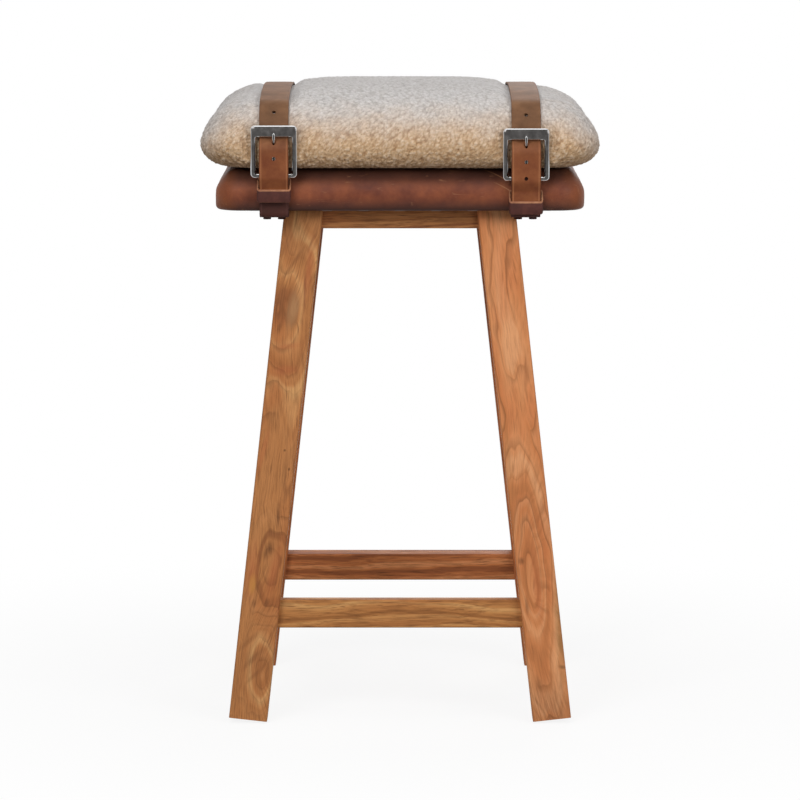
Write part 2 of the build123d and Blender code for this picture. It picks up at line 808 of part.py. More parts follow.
def strap_channel(setting, inset):
    """What a strap takes out of the cushion: all that lies outside its inner face, in its lane."""
    points, radii = over_path(setting)
    clearance = half_strap + soft_gap + inset
    points = [(rear_out, 0), *points, (-strap_behind_bar, 0)]
    radii = [*radii[:-1], swell_high_radius]
    inner_points, inner_radii = offset_path(points, radii, clearance)
    lane = setting["sign"] * strap_offset
    lane_half = strap_width / 2 + soft_gap + inset
    high = cushion_bottom + cushion_height + overrun
    with BuildSketch(Plane.YZ.offset(lane)) as outside:
        with BuildLine():
            add(path_lines(inner_points, inner_radii))
            Line(inner_points[-1], inner_points[0])
        make_face()
    with BuildPart() as channel:
        with BuildSketch(Plane.YZ.offset(lane)):
            with Locations((0, high / 2)):
                Rectangle(cushion_depth + 2 * overrun, high)
        extrude(amount=lane_half, both=True)
        extrude(outside.sketch, amount=lane_half + overrun, both=True, mode=Mode.SUBTRACT)
    return channel.part


def cushion_form(inset):
    """The cushion drawn in by inset all round, with its strap channels and buckle recesses."""
    sections = []
    for height_share, width_share, depth_share in cushion_section_shares:
        sections.append(
            cushion_section(
                cushion_bottom + inset + (cushion_height - 2 * inset) * height_share,
                (cushion_width / 2 - inset) * width_share,
                (cushion_depth / 2 - inset) * depth_share,
                (cushion_corner_radius - inset) * width_share,
                cushion_side_draw * width_share,
            )
        )
    recess_out = heel_out - buckle_thickness / 2 - soft_gap - inset
    with BuildPart() as form:
        loft(sections, ruled=True)
        for setting in strap_sides.values():
            add(strap_channel(setting, inset), mode=Mode.SUBTRACT)
            recess_top = setting["heel_z"] + buckle_reach + buckle_bar / 2 + soft_gap + inset
            with BuildSketch(Plane.XY.offset(seat_underside)) as recess:
                with Locations((setting["sign"] * strap_offset, -recess_out - overrun)):
                    Rectangle(buckle_width + 2 * (soft_gap + inset), 2 * overrun)
            extrude(recess.sketch, amount=recess_top - seat_underside, mode=Mode.SUBTRACT)
    return form.part


# Fleece cover and the fibre filling inside it
with BuildPart() as cushion_filling:
    add(cushion_form(cushion_skin + fit_gap))
write_part(cushion_filling.part, "cushion_filling")

with BuildPart() as cushion_cover:
    add(cushion_form(0))
    add(cushion_form(cushion_skin), mode=Mode.SUBTRACT)
write_part(cushion_cover.part, "cushion_cover")
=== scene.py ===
"""Bar stool: wooden legs, a leather seat pad, a curly fleece cushion, and two buckled leather straps.

Metres. The front faces -Y, +X is on the viewer's right, Z is up from the floor.
"""

import math

import bmesh
import bpy
import numpy as np
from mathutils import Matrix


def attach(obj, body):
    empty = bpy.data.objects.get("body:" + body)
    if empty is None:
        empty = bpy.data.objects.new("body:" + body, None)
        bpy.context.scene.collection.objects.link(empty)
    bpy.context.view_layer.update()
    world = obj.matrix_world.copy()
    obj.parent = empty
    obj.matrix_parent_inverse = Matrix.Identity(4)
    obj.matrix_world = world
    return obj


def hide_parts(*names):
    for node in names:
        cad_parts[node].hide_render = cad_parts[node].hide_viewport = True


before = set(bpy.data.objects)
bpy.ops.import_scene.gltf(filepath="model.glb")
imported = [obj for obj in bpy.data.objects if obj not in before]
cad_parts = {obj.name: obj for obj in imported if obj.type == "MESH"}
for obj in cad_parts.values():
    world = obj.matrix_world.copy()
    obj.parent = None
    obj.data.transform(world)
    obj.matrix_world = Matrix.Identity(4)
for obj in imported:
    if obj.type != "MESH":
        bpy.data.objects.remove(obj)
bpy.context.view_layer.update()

MM = 0.001
STRAP_OFFSET = 128.8 * MM
STRAP_WIDTH = 30.0 * MM
STRAP_THICKNESS = 2.8 * MM
LINE_INSET = 1.9 * MM
SIDES = {
    "left": {"sign": -1, "heel": 568.7, "keeper_top": 553.5, "tail": 547.7, "bar": 606.7, "free_holes": 1},
    "right": {"sign": 1, "heel": 565.7, "keeper_top": 541.3, "tail": 531.7, "bar": 603.7, "free_holes": 2},
}
HOLE_PITCH = 17.0 * MM
HOLE_RADIUS = 2.0 * MM
LONG_HOLE_HALF = 3.8 * MM
PUNCH_REACH = 4.0 * MM
PRONG_CROSSING = 33.1
SEAT_LOW = 531.7 * MM
SEAT_TOP = 574.2 * MM
# A Mix node's colour sockets: the two that it blends, and the blend
UNDER, OVER, BLEND = 6, 7, 2


# Colours and nodes


def linear(hex_colour):
    """Linear RGBA of an sRGB hex colour: the sRGB curve undone on each channel."""
    channels = np.array([int(hex_colour[i : i + 2], 16) / 255 for i in (0, 2, 4)])
    straight = np.where(channels <= 0.04045, channels / 12.92, ((channels + 0.055) / 1.055) ** 2.4)
    return (*straight.tolist(), 1.0)


def put(tree, kind, inputs=None, stops=None, out=0, **settings):
    """Adds a shader node: its settings, its inputs' values or links, and a ramp's (place, hex colour) stops.

    Gives the output that out names, by default the first, or the node itself where out is None.
    """
    made = tree.nodes.new("ShaderNode" + kind)
    for name, value in settings.items():
        setattr(made, name, value)
    for key, value in (inputs or {}).items():
        if isinstance(value, bpy.types.NodeSocket):
            tree.links.new(value, made.inputs[key])
        else:
            made.inputs[key].default_value = value
    for index, (place, colour) in enumerate(stops or []):
        elements = made.color_ramp.elements
        element = elements[index] if index < 2 else elements.new(place)
        element.position = place
        element.color = linear(colour)
    return made if out is None else made.outputs[out]


def new_material(name):
    """A material and its emptied tree."""
    material = bpy.data.materials.new(name)
    material.use_nodes = True
    material.node_tree.nodes.clear()
    return material, material.node_tree


# Materials


def off_from(tree, value, middle):
    """How far a value lies from a middle one, either way."""
    off = put(tree, "Math", {0: value, 1: middle}, operation="SUBTRACT")
    return put(tree, "Math", {0: off}, operation="ABSOLUTE")


def oiled_mango_wood(name, rows, middle, pith, tones, swirls=(), marks=(), lines=0.35, streak=0.75):
    """Mango wood, sawn, sanded and oiled: warm brown, uneven growth rings, fine fibres and open pores.

    The rows turn the Object place so that its last part runs along the grain, from the piece's
    middle. The rings are read from the distance to the pith, bent by slow noises, and pushed aside
    where a branch grew, by swirls. A noise of that distance alone gives rings of uneven width. Lines
    and streak tell how dark the rings' end lines and the fibres are, and marks are the knots and
    stained streaks near the front face, and broad darkenings across the whole face, one of which is
    painted shade under the seat.
    """
    material, tree = new_material(name)
    place = put(tree, "TexCoord", out="Object")
    turned = {}
    for axis, row in enumerate(rows):
        turned[axis] = put(tree, "VectorMath", {0: place, 1: row}, out="Value", operation="DOT_PRODUCT")
    turned = put(tree, "CombineXYZ", turned)
    grain = put(tree, "VectorMath", {0: turned, 1: middle}, operation="SUBTRACT")
    drawn = put(tree, "VectorMath", {0: grain, 1: (1, 1, 0.28)}, operation="MULTIPLY")
    away = put(tree, "VectorMath", {0: grain, 1: pith}, operation="SUBTRACT")
    away = put(tree, "VectorMath", {0: away, 1: (1, 1, 0)}, operation="MULTIPLY")
    distance = put(tree, "VectorMath", {0: away}, out="Value", operation="LENGTH")

    # The rings wander by up to 20 mm over 90 mm, and by up to 5 mm over 25 mm
    shifted = put(tree, "VectorMath", {0: drawn, 1: middle}, operation="ADD")
    slow = put(tree, "TexNoise", {"Vector": shifted, "Scale": 11.0, "Detail": 1.0})
    quick = put(tree, "TexNoise", {"Vector": shifted, "Scale": 42.0, "Detail": 2.0})
    push = put(tree, "Math", {0: slow, 1: 0.055}, operation="MULTIPLY")
    push = put(tree, "Math", {0: quick, 1: 0.014, 2: push}, operation="MULTIPLY_ADD")
    for across, deep, along, half_width, half_length, amount in swirls:
        spot = put(
            tree, "Mapping",
            {"Vector": grain, "Location": (across, deep, along), "Scale": (half_width, 0.09, half_length)},
            vector_type="TEXTURE",
        )
        reach = put(tree, "VectorMath", {0: spot}, out="Value", operation="LENGTH")
        share = put(tree, "MapRange", {"Value": reach, "To Min": 1.0, "To Max": 0.0})
        push = put(tree, "Math", {0: share, 1: amount, 2: push}, operation="MULTIPLY_ADD")
    bent = put(tree, "Math", {0: distance, 1: push}, operation="ADD")

    ring_noise = put(
        tree, "TexNoise", {"W": bent, "Scale": 120.0, "Detail": 2.5, "Roughness": 0.55}, noise_dimensions="1D"
    )
    ring_tone = put(
        tree, "ValToRGB", {"Fac": ring_noise},
        stops=[(0.30, tones["dark"]), (0.43, tones["mid"]), (0.56, tones["base"]), (0.72, tones["light"])],
    )
    patches = put(tree, "TexNoise", {"Vector": shifted, "Scale": 24.0, "Detail": 3.0, "Roughness": 0.6})
    red_share = put(tree, "MapRange", {"Value": patches, "From Min": 0.48, "From Max": 0.68, "To Max": 0.6})

    # Thin dark lines end some of the rings, 5 mm apart
    cycle = put(tree, "Math", {0: bent, 1: 200.0}, operation="MULTIPLY")
    cycle = put(tree, "Math", {0: cycle}, operation="FRACT")
    rising = put(tree, "MapRange", {"Value": cycle, "From Min": 0.70, "From Max": 0.94})
    falling = put(
        tree, "MapRange", {"Value": cycle, "From Min": 0.94, "From Max": 1.0, "To Min": lines, "To Max": 0.0}
    )
    some = put(tree, "MapRange", {"Value": patches, "From Min": 0.38, "From Max": 0.60})
    line = put(tree, "Math", {0: rising, 1: falling}, operation="MULTIPLY")
    line = put(tree, "Math", {0: line, 1: some}, operation="MULTIPLY")

    # Fibre streaks 2 mm apart follow the bent grain, and so do the pores: dark dashes in cells
    # 2.3 mm wide and 33 mm long
    parts = put(tree, "SeparateXYZ", {0: grain}, out=None)
    sideways = put(tree, "Math", {0: parts.outputs[0], 1: push}, operation="ADD")
    short = put(tree, "Math", {0: parts.outputs[2], 1: 0.07}, operation="MULTIPLY")
    fibre_place = put(tree, "CombineXYZ", {0: sideways, 1: parts.outputs[1], 2: short})
    fibres = put(tree, "TexNoise", {"Vector": fibre_place, "Scale": 520.0, "Detail": 4.0, "Roughness": 0.62})
    fibre_dark = put(
        tree, "MapRange", {"Value": fibres, "From Min": 0.44, "From Max": 0.76, "To Max": streak}
    )
    pores = put(tree, "TexVoronoi", {"Vector": fibre_place, "Scale": 430.0})
    pore_dark = put(
        tree, "MapRange",
        {"Value": pores, "From Min": 0.11, "From Max": 0.27, "To Min": 0.8 * streak, "To Max": 0.0},
    )
    body = ring_tone
    for share, tone in ((red_share, "red"), (line, "pore"), (fibre_dark, "pore"), (pore_dark, "pore")):
        body = put(
            tree, "Mix", {"Factor": share, UNDER: body, OVER: linear(tones[tone])},
            out=BLEND, data_type="RGBA",
        )

    # Knots and streaks have ragged edges: the fibres eat into them
    ragged = put(tree, "MapRange", {"Value": fibres, "From Min": 0.30, "From Max": 0.62, "To Min": 0.45})
    for across, along, half_width, half_length, lean, strength, colour in marks:
        spot = put(
            tree, "Mapping",
            {
                "Vector": grain, "Location": (across * MM, -0.02, along * MM), "Rotation": (0, lean, 0),
                "Scale": (half_width * MM, 0.02, half_length * MM),
            },
            vector_type="TEXTURE",
        )
        reach = put(tree, "VectorMath", {0: spot}, out="Value", operation="LENGTH")
        share = put(
            tree, "MapRange",
            {"Value": reach, "From Min": 0.15, "From Max": 1.15, "To Min": strength, "To Max": 0.0},
            interpolation_type="SMOOTHSTEP",
        )
        share = put(tree, "Math", {0: share, 1: ragged}, operation="MULTIPLY")
        body = put(
            tree, "Mix", {"Factor": share, UNDER: body, OVER: linear(colour)}, out=BLEND, data_type="RGBA"
        )

    height = put(tree, "Math", {0: pores, 1: 0.6, 2: fibres}, operation="MULTIPLY_ADD")
    bump = put(tree, "Bump", {"Strength": 0.15, "Distance": 0.6 * MM, "Height": height})
    roughness = put(
        tree, "MapRange", {"Value": fibres, "From Min": 0.3, "From Max": 0.7, "To Min": 0.48, "To Max": 0.64}
    )
    shader = put(
        tree, "BsdfPrincipled",
        {"Base Color": body, "Roughness": roughness, "Normal": bump, "IOR": 1.5, "Specular IOR Level": 0.2},
    )
    put(tree, "OutputMaterial", {"Surface": shader}, out=None)
    return material


def plain_steel(name, tone, rough):
    """Plated steel, rolled or drawn: grey, with a fine drawn scratch that spreads its shine."""
    material, tree = new_material(name)
    place = put(tree, "TexCoord", out="Object")
    scratch = put(tree, "TexNoise", {"Vector": place, "Scale": 900.0, "Detail": 3.0, "Roughness": 0.6})
    roughness = put(
        tree, "MapRange",
        {"Value": scratch, "From Min": 0.3, "From Max": 0.7, "To Min": rough - 0.06, "To Max": rough + 0.1},
    )
    shader = put(
        tree, "BsdfPrincipled", {"Base Color": linear(tone), "Metallic": 1.0, "Roughness": roughness}
    )
    put(tree, "OutputMaterial", {"Surface": shader}, out=None)
    return material


def polished_nickel(name):
    """Nickel plated buckle metal with reflection painted in: dark on its front faces, bright where it rounds
    away.
    """
    material, tree = new_material(name)
    place = put(tree, "TexCoord", out="Object")
    cloud = put(tree, "TexNoise", {"Vector": place, "Scale": 160.0, "Detail": 4.0, "Roughness": 0.6})
    # Painted reflection: front faces keep this dark cloudy tone, as if mirroring dark surroundings, and faces
    # that round away get a painted highlight
    tone = put(tree, "ValToRGB", {"Fac": cloud}, stops=[(0.3, "413F3E"), (0.55, "555352"), (0.8, "6E6C6B")])
    facing = put(tree, "TexCoord", out="Normal")
    facing = put(tree, "SeparateXYZ", {0: facing}, out="Y")
    facing = put(tree, "Math", {0: facing}, operation="ABSOLUTE")
    painted_highlight = put(
        tree, "MapRange", {"Value": facing, "From Min": 0.72, "From Max": 0.93, "To Min": 1.0, "To Max": 0.0},
        interpolation_type="SMOOTHSTEP",
    )
    tone = put(
        tree, "Mix", {"Factor": painted_highlight, UNDER: tone, OVER: linear("D6D7D8")}, out=BLEND, data_type="RGBA"
    )
    roughness = put(
        tree, "MapRange", {"Value": cloud, "From Min": 0.3, "From Max": 0.75, "To Min": 0.10, "To Max": 0.22}
    )
    lines_place = put(tree, "Mapping", {"Vector": place, "Scale": (0.15, 1, 1)})
    lines = put(tree, "TexNoise", {"Vector": lines_place, "Scale": 1400.0, "Detail": 2.0})
    bump = put(tree, "Bump", {"Strength": 0.06, "Distance": 0.3 * MM, "Height": lines})
    shader = put(
        tree, "BsdfPrincipled", {"Base Color": tone, "Metallic": 1.0, "Roughness": roughness, "Normal": bump}
    )
    put(tree, "OutputMaterial", {"Surface": shader}, out=None)
    return material


def strap_leather(name, upper_tones, lower_tones, edge_tone, raw_tone):
    """Vegetable tanned strap leather, matt: fine pebble and creases, burnished edge lines, raw cut sides.

    The attribute "lie" holds the place along the strap, the place across it, and how far out of
    the strap's middle layer the point is, all in metres. The lower tones are the redder tail's.
    """
    material, tree = new_material(name)
    lie = put(tree, "Attribute", out="Vector", attribute_name="lie")
    across = put(tree, "SeparateXYZ", {0: lie}, out="Y")
    across = put(tree, "Math", {0: across}, operation="ABSOLUTE")
    place = put(tree, "TexCoord", out="Object")
    clouds = put(tree, "TexNoise", {"Vector": place, "Scale": 55.0, "Detail": 5.0, "Roughness": 0.6})
    upper = put(tree, "ValToRGB", {"Fac": clouds}, stops=list(zip((0.30, 0.52, 0.72), upper_tones)))
    lower = put(tree, "ValToRGB", {"Fac": clouds}, stops=list(zip((0.30, 0.55, 0.75), lower_tones)))
    high = put(tree, "SeparateXYZ", {0: place}, out="Z")
    redder = put(
        tree, "MapRange", {"Value": high, "From Min": 0.585, "From Max": 0.620, "To Min": 1.0, "To Max": 0.0},
        interpolation_type="SMOOTHSTEP",
    )
    skin = put(tree, "Mix", {"Factor": redder, UNDER: upper, OVER: lower}, out=BLEND, data_type="RGBA")

    # The burnished line lies in the pressed one, is about 1 mm wide and shows on the tail only
    half = STRAP_WIDTH / 2
    off = off_from(tree, across, half - LINE_INSET)
    line = put(
        tree, "MapRange",
        {"Value": off, "From Min": 0.2 * MM, "From Max": 0.9 * MM, "To Min": 0.6, "To Max": 0.0},
        interpolation_type="SMOOTHSTEP",
    )
    line = put(tree, "Math", {0: line, 1: redder}, operation="MULTIPLY")
    lined = put(
        tree, "Mix", {"Factor": line, UNDER: skin, OVER: linear(edge_tone)}, out=BLEND, data_type="RGBA"
    )
    raw = put(tree, "MapRange", {"Value": across, "From Min": half - 0.35 * MM, "From Max": half - 0.1 * MM})
    toned = put(
        tree, "Mix", {"Factor": raw, UNDER: lined, OVER: linear(raw_tone)}, out=BLEND, data_type="RGBA"
    )

    # Pebble 0.9 mm across, and creases 4 mm apart
    pebble = put(tree, "TexVoronoi", {"Vector": place, "Scale": 1100.0}, feature="SMOOTH_F1")
    creases = put(tree, "TexNoise", {"Vector": place, "Scale": 260.0, "Detail": 4.0, "Distortion": 0.8})
    height = put(tree, "Math", {0: pebble, 1: 0.5, 2: creases}, operation="MULTIPLY_ADD")
    bump = put(tree, "Bump", {"Strength": 0.25, "Distance": 0.6 * MM, "Height": height})
    shader = put(
        tree, "BsdfPrincipled",
        {"Base Color": toned, "Roughness": 0.62, "Normal": bump, "IOR": 1.47, "Specular IOR Level": 0.2},
    )
    put(tree, "OutputMaterial", {"Surface": shader}, out=None)
    return material


def waxed_seat_leather(name):
    """Pull-up seat leather, waxed: dark red brown, orange where it is stretched, scuffed, with a soft shine.

    It is darkest at its top and bottom edges, painted shade for the cushion's shadow above and the turn under
    below. The scratches are thin arcs: the distance to a centre, less a radius, kept to a patch of the front.
    """
    material, tree = new_material(name)
    place = put(tree, "TexCoord", out="Object")
    parts = put(tree, "SeparateXYZ", {0: place}, out=None)
    clouds = put(tree, "TexNoise", {"Vector": place, "Scale": 30.0, "Detail": 5.0, "Roughness": 0.62})
    tone = put(
        tree, "ValToRGB", {"Fac": clouds},
        stops=[(0.28, "582A1D"), (0.44, "703A26"), (0.60, "85482D"), (0.78, "9A5935")],
    )
    # Painted shade: the leather is brightest 19 mm above its lower edge, and darkens over 18 mm up and down
    # from there
    from_middle = off_from(tree, parts.outputs["Z"], 0.5505)
    painted_edge_shade = put(
        tree, "MapRange", {"Value": from_middle, "From Min": 0.002, "From Max": 0.018, "To Max": 0.86},
        interpolation_type="SMOOTHSTEP",
    )
    end = put(tree, "Math", {0: parts.outputs["X"]}, operation="ABSOLUTE")
    worn = put(tree, "MapRange", {"Value": end, "From Min": 0.165, "From Max": 0.187, "To Max": 0.45})
    scuff_place = put(tree, "Mapping", {"Vector": place, "Scale": (0.25, 1, 1)})
    scuffs = put(tree, "TexNoise", {"Vector": scuff_place, "Scale": 190.0, "Detail": 2.0, "Distortion": 1.5})
    scuff = put(tree, "MapRange", {"Value": scuffs, "From Min": 0.66, "From Max": 0.76, "To Max": 0.25})
    layers = [(painted_edge_shade, "33201B"), (worn, "95552F"), (scuff, "B07C58")]
    for centre_x, centre_z, radius, patch_x, patch_z in (
        (0.060, 0.470, 0.098, 0.112, 0.552),
        (0.068, 0.500, 0.075, 0.096, 0.570),
        (0.190, 0.640, 0.105, 0.128, 0.556),
    ):
        off = put(tree, "VectorMath", {0: place, 1: (centre_x, 0, centre_z)}, operation="SUBTRACT")
        off = put(tree, "VectorMath", {0: off, 1: (1, 0, 1)}, operation="MULTIPLY")
        reach = put(tree, "VectorMath", {0: off}, out="Value", operation="LENGTH")
        reach = off_from(tree, reach, radius)
        thin = put(
            tree, "MapRange",
            {"Value": reach, "From Min": 0.2 * MM, "From Max": 0.7 * MM, "To Min": 0.5, "To Max": 0.0},
        )
        patch = put(
            tree, "VectorMath", {0: place, 1: (patch_x, -0.15, patch_z)}, out="Value", operation="DISTANCE"
        )
        near = put(
            tree, "MapRange",
            {"Value": patch, "From Min": 0.006, "From Max": 0.020, "To Min": 1.0, "To Max": 0.0},
        )
        share = put(tree, "Math", {0: thin, 1: near}, operation="MULTIPLY")
        layers.append((share, "C08A62"))
    for share, colour in layers:
        tone = put(
            tree, "Mix", {"Factor": share, UNDER: tone, OVER: linear(colour)}, out=BLEND, data_type="RGBA"
        )

    # Pebble 1.1 mm across, and creases 11 mm apart
    pebble = put(tree, "TexVoronoi", {"Vector": place, "Scale": 900.0}, feature="SMOOTH_F1")
    creases = put(tree, "TexNoise", {"Vector": place, "Scale": 90.0, "Detail": 5.0, "Distortion": 1.2})
    height = put(tree, "Math", {0: pebble, 1: 0.3, 2: creases}, operation="MULTIPLY_ADD")
    bump = put(tree, "Bump", {"Strength": 0.3, "Distance": 1.2 * MM, "Height": height})
    roughness = put(
        tree, "MapRange", {"Value": clouds, "From Min": 0.3, "From Max": 0.7, "To Min": 0.44, "To Max": 0.58}
    )
    shader = put(
        tree, "BsdfPrincipled",
        {"Base Color": tone, "Roughness": roughness, "Normal": bump, "IOR": 1.47, "Specular IOR Level": 0.22},
    )
    put(tree, "OutputMaterial", {"Surface": shader}, out=None)
    return material


def boucle_fleece(name):
    """Wool boucle, looped and brushed, with light painted in: pale grey-cream curls on top as if lit from
    above, warmer and tanner low on the sides as painted shade.

    The attribute "curl" is 1 on a curl's crest and 0 in the valleys between curls, which are painted darker
    as shade. The surface is
    dull and fuzzy: loops of 2.4 mm and single fibres show in the bump.
    """
    material, tree = new_material(name)
    curl = put(tree, "Attribute", out="Fac", attribute_name="curl")
    place = put(tree, "TexCoord", out="Object")
    high = put(tree, "SeparateXYZ", {0: place}, out="Z")
    # Painted light: a height, wobbled by noise and raised at the ends, blends the pale top, painted as lit
    # from above, into the warm tan lower sides, painted as shade
    patch = put(tree, "TexNoise", {"Vector": place, "Scale": 45.0, "Detail": 2.0})
    level = put(tree, "Math", {0: patch, 1: 0.022, 2: high}, operation="MULTIPLY_ADD")
    aside = put(tree, "SeparateXYZ", {0: place}, out="X")
    aside = put(tree, "Math", {0: aside}, operation="ABSOLUTE")
    ends = put(
        tree, "MapRange", {"Value": aside, "From Min": 0.165, "From Max": 0.205, "To Max": 0.022},
        interpolation_type="SMOOTHSTEP",
    )
    level = put(tree, "Math", {0: level, 1: ends}, operation="ADD")
    low_share = put(
        tree, "MapRange",
        {"Value": level, "From Min": 0.604, "From Max": 0.662, "To Min": 1.0, "To Max": 0.0},
        interpolation_type="SMOOTHSTEP",
    )
    # Both ramps paint shade in the valleys between curls, darkest where curl is 0
    pale = put(
        tree, "ValToRGB", {"Fac": curl},
        stops=[(0.0, "958F8C"), (0.32, "BBB6B3"), (0.6, "CECAC8"), (1.0, "D9D6D5")],
    )
    warm = put(
        tree, "ValToRGB", {"Fac": curl},
        stops=[(0.0, "835F41"), (0.32, "B9936D"), (0.6, "D2B08B"), (1.0, "E6CCAF")],
    )
    tone = put(tree, "Mix", {"Factor": low_share, UNDER: pale, OVER: warm}, out=BLEND, data_type="RGBA")
    fuzz = put(tree, "TexNoise", {"Vector": place, "Scale": 650.0, "Detail": 4.0, "Roughness": 0.7})
    shade = put(
        tree, "MapRange", {"Value": fuzz, "From Min": 0.32, "From Max": 0.68, "To Min": 0.84, "To Max": 1.12}
    )
    toned = put(tree, "VectorMath", {0: tone, "Scale": shade}, operation="SCALE")
    loops = put(tree, "TexVoronoi", {"Vector": place, "Scale": 420.0}, feature="SMOOTH_F1")
    height = put(tree, "Math", {0: loops, 1: -1.2, 2: fuzz}, operation="MULTIPLY_ADD")
    bump = put(tree, "Bump", {"Strength": 0.75, "Distance": 1.2 * MM, "Height": height})
    shader = put(
        tree, "BsdfPrincipled",
        {
            "Base Color": toned, "Roughness": 0.95, "Normal": bump, "Specular IOR Level": 0.1,
            "Sheen Weight": 0.05, "Sheen Roughness": 0.5,
        },
    )
    put(tree, "OutputMaterial", {"Surface": shader}, out=None)
    return material


def pale_fill(name, tone, scale):
    """Foam or loose fibre, hidden inside: pale, dull and open."""
    material, tree = new_material(name)
    place = put(tree, "TexCoord", out="Object")
    cells = put(tree, "TexVoronoi", {"Vector": place, "Scale": scale})
    bump = put(tree, "Bump", {"Strength": 0.4, "Distance": 1.0 * MM, "Height": cells})
    shader = put(tree, "BsdfPrincipled", {"Base Color": linear(tone), "Roughness": 0.9, "Normal": bump})
    put(tree, "OutputMaterial", {"Surface": shader}, out=None)
    return material


# Meshes


def grid_faces(rows, columns, round_rows=False, round_columns=False):
    """Corner indices of a rows x columns grid's quads: each point joins its right and upper neighbours."""
    row = np.arange(rows if round_rows else rows - 1)
    column = np.arange(columns if round_columns else columns - 1)
    r, c = np.meshgrid(row, column, indexing="ij")
    this, above = r * columns, (r + 1) % rows * columns
    following = (c + 1) % columns
    return np.stack([this + c, this + following, above + following, above + c], -1).reshape(-1, 4)


def add_object(name, data):
    """An object that shows a mesh, lamp or camera in the scene."""
    made = bpy.data.objects.new(name, data)
    bpy.context.scene.collection.objects.link(made)
    return made


def new_piece(name, points, faces, material, body, replaces, lie=None):
    """A mesh object from an array of points and lists of faces, riding on a body.

    Lie is what the attribute of that name tells of each point.
    """
    mesh = bpy.data.meshes.new(name)
    mesh.from_pydata(points.reshape(-1, 3).tolist(), [], [list(map(int, face)) for face in faces])
    if lie is not None:
        layer = mesh.attributes.new("lie", "FLOAT_VECTOR", "POINT")
        layer.data.foreach_set("vector", np.ravel(lie).astype(np.float32))
    mesh.polygons.foreach_set("use_smooth", [True] * len(mesh.polygons))
    mesh.update()
    mesh.validate()
    piece = add_object(name, mesh)
    mesh.materials.append(material)
    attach(piece, body)
    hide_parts(*replaces)
    return piece


def bake_modifiers(piece):
    """Turns a piece's modifiers into its mesh."""
    bpy.context.view_layer.update()
    graph = bpy.context.evaluated_depsgraph_get()
    shown = piece.evaluated_get(graph)
    baked = bpy.data.meshes.new_from_object(shown, preserve_all_data_layers=True, depsgraph=graph)
    piece.modifiers.clear()
    old = piece.data
    piece.data = baked
    bpy.data.meshes.remove(old)


def outward(piece):
    """Recalculates a closed mesh's normals so that its faces point outwards."""
    work = bmesh.new()
    work.from_mesh(piece.data)
    bmesh.ops.recalc_face_normals(work, faces=work.faces)
    work.to_mesh(piece.data)
    work.free()


def vertex_vectors(mesh, key):
    """A vector of each vertex, such as its place (co) or its normal, as the rows of an array."""
    values = np.empty(len(mesh.vertices) * 3, np.float32)
    mesh.vertices.foreach_get(key, values)
    return values.reshape(-1, 3)


def capped_tube(rows, columns):
    """Faces of a tube of rings, as lists, closed by a cap at each end."""
    faces = grid_faces(rows, columns, round_columns=True).tolist()
    faces.append(list(range(columns))[::-1])
    faces.append([(rows - 1) * columns + i for i in range(columns)])
    return faces


def around(count):
    """That many angles evenly round a full turn."""
    return np.linspace(0, 2 * math.pi, count + 1)[:-1]


def signed_power(value, power):
    """The size of the value raised to the power, with the value's sign."""
    return np.sign(value) * np.abs(value) ** power


def smooth_step(value, low, high):
    """0 below low, 1 above high, an S curve between."""
    share = np.clip((value - low) / (high - low), 0, 1)
    return share * share * (3 - 2 * share)


def run_length(line):
    """Length along a line up to each of its points."""
    return np.concatenate([[0], np.cumsum(np.linalg.norm(np.diff(line, axis=0), axis=1))])


def unit_headings(path, *along):
    """Direction of travel at each point of a path."""
    heading = np.gradient(path, *along, axis=0)
    return heading / np.linalg.norm(heading, axis=1)[:, None]


def outer_side(heading):
    """Headings (y, z) turned a quarter, so that they point out of a strap's outer side."""
    return np.stack([heading[:, 1], -heading[:, 0]], -1)


def smooth_curve(knots, count):
    """A smooth curve through the knots, as evenly spaced points.

    Between two knots it is the cubic that leaves and meets them with the slopes that np.gradient
    finds over the length along the knots.
    """
    knots = np.array(knots, float)
    gap = np.linalg.norm(np.diff(knots, axis=0), axis=1)
    at = run_length(knots)
    slope = np.gradient(knots, at, axis=0)
    fine = np.linspace(0, at[-1], 40 * len(knots))
    index = np.clip(np.searchsorted(at, fine, side="right") - 1, 0, len(gap) - 1)
    step = gap[index][:, None]
    t = (fine - at[index])[:, None] / step
    line = (2 * t**3 - 3 * t**2 + 1) * knots[index] + (t**3 - 2 * t**2 + t) * step * slope[index]
    line += (3 * t**2 - 2 * t**3) * knots[index + 1] + (t**3 - t**2) * step * slope[index + 1]
    length = run_length(line)
    even = np.linspace(0, length[-1], count)
    return np.stack([np.interp(even, length, line[:, axis]) for axis in range(2)], -1)


def path_points(corners, radii, step=0.9 * MM):
    """A path of straight runs joined by tangent arcs of the given radii, as evenly spaced points."""
    corners = np.array(corners, float) * MM
    radii = np.array(radii, float) * MM
    line = [corners[0]]
    for index, radius in enumerate(radii):
        before, corner, after = corners[index : index + 3]
        heading_in = (corner - before) / np.linalg.norm(corner - before)
        heading_out = (after - corner) / np.linalg.norm(after - corner)
        turn = math.acos(float(np.clip(heading_in @ heading_out, -1, 1)))
        if radius == 0 or turn < 1e-6:
            line.append(corner)
            continue
        reach = radius * math.tan(turn / 2)
        inward = heading_out - heading_in
        inward /= np.linalg.norm(inward)
        centre = corner + inward * radius / math.cos(turn / 2)
        start = corner - heading_in * reach - centre
        side = math.copysign(1, heading_in[0] * heading_out[1] - heading_in[1] * heading_out[0])
        angles = side * np.linspace(0, turn, 13)
        cos, sin = np.cos(angles), np.sin(angles)
        line.extend(centre + np.stack([start[0] * cos - start[1] * sin, start[0] * sin + start[1] * cos], -1))
    line.append(corners[-1])
    line = np.array(line)
    gaps = np.linalg.norm(np.diff(line, axis=0), axis=1)
    line = line[np.concatenate([[True], gaps > 1e-7])]
    length = run_length(line)
    even = np.linspace(0, length[-1], max(int(length[-1] / step), 2) + 1)
    return np.stack([np.interp(even, length, line[:, axis]) for axis in range(2)], -1), even


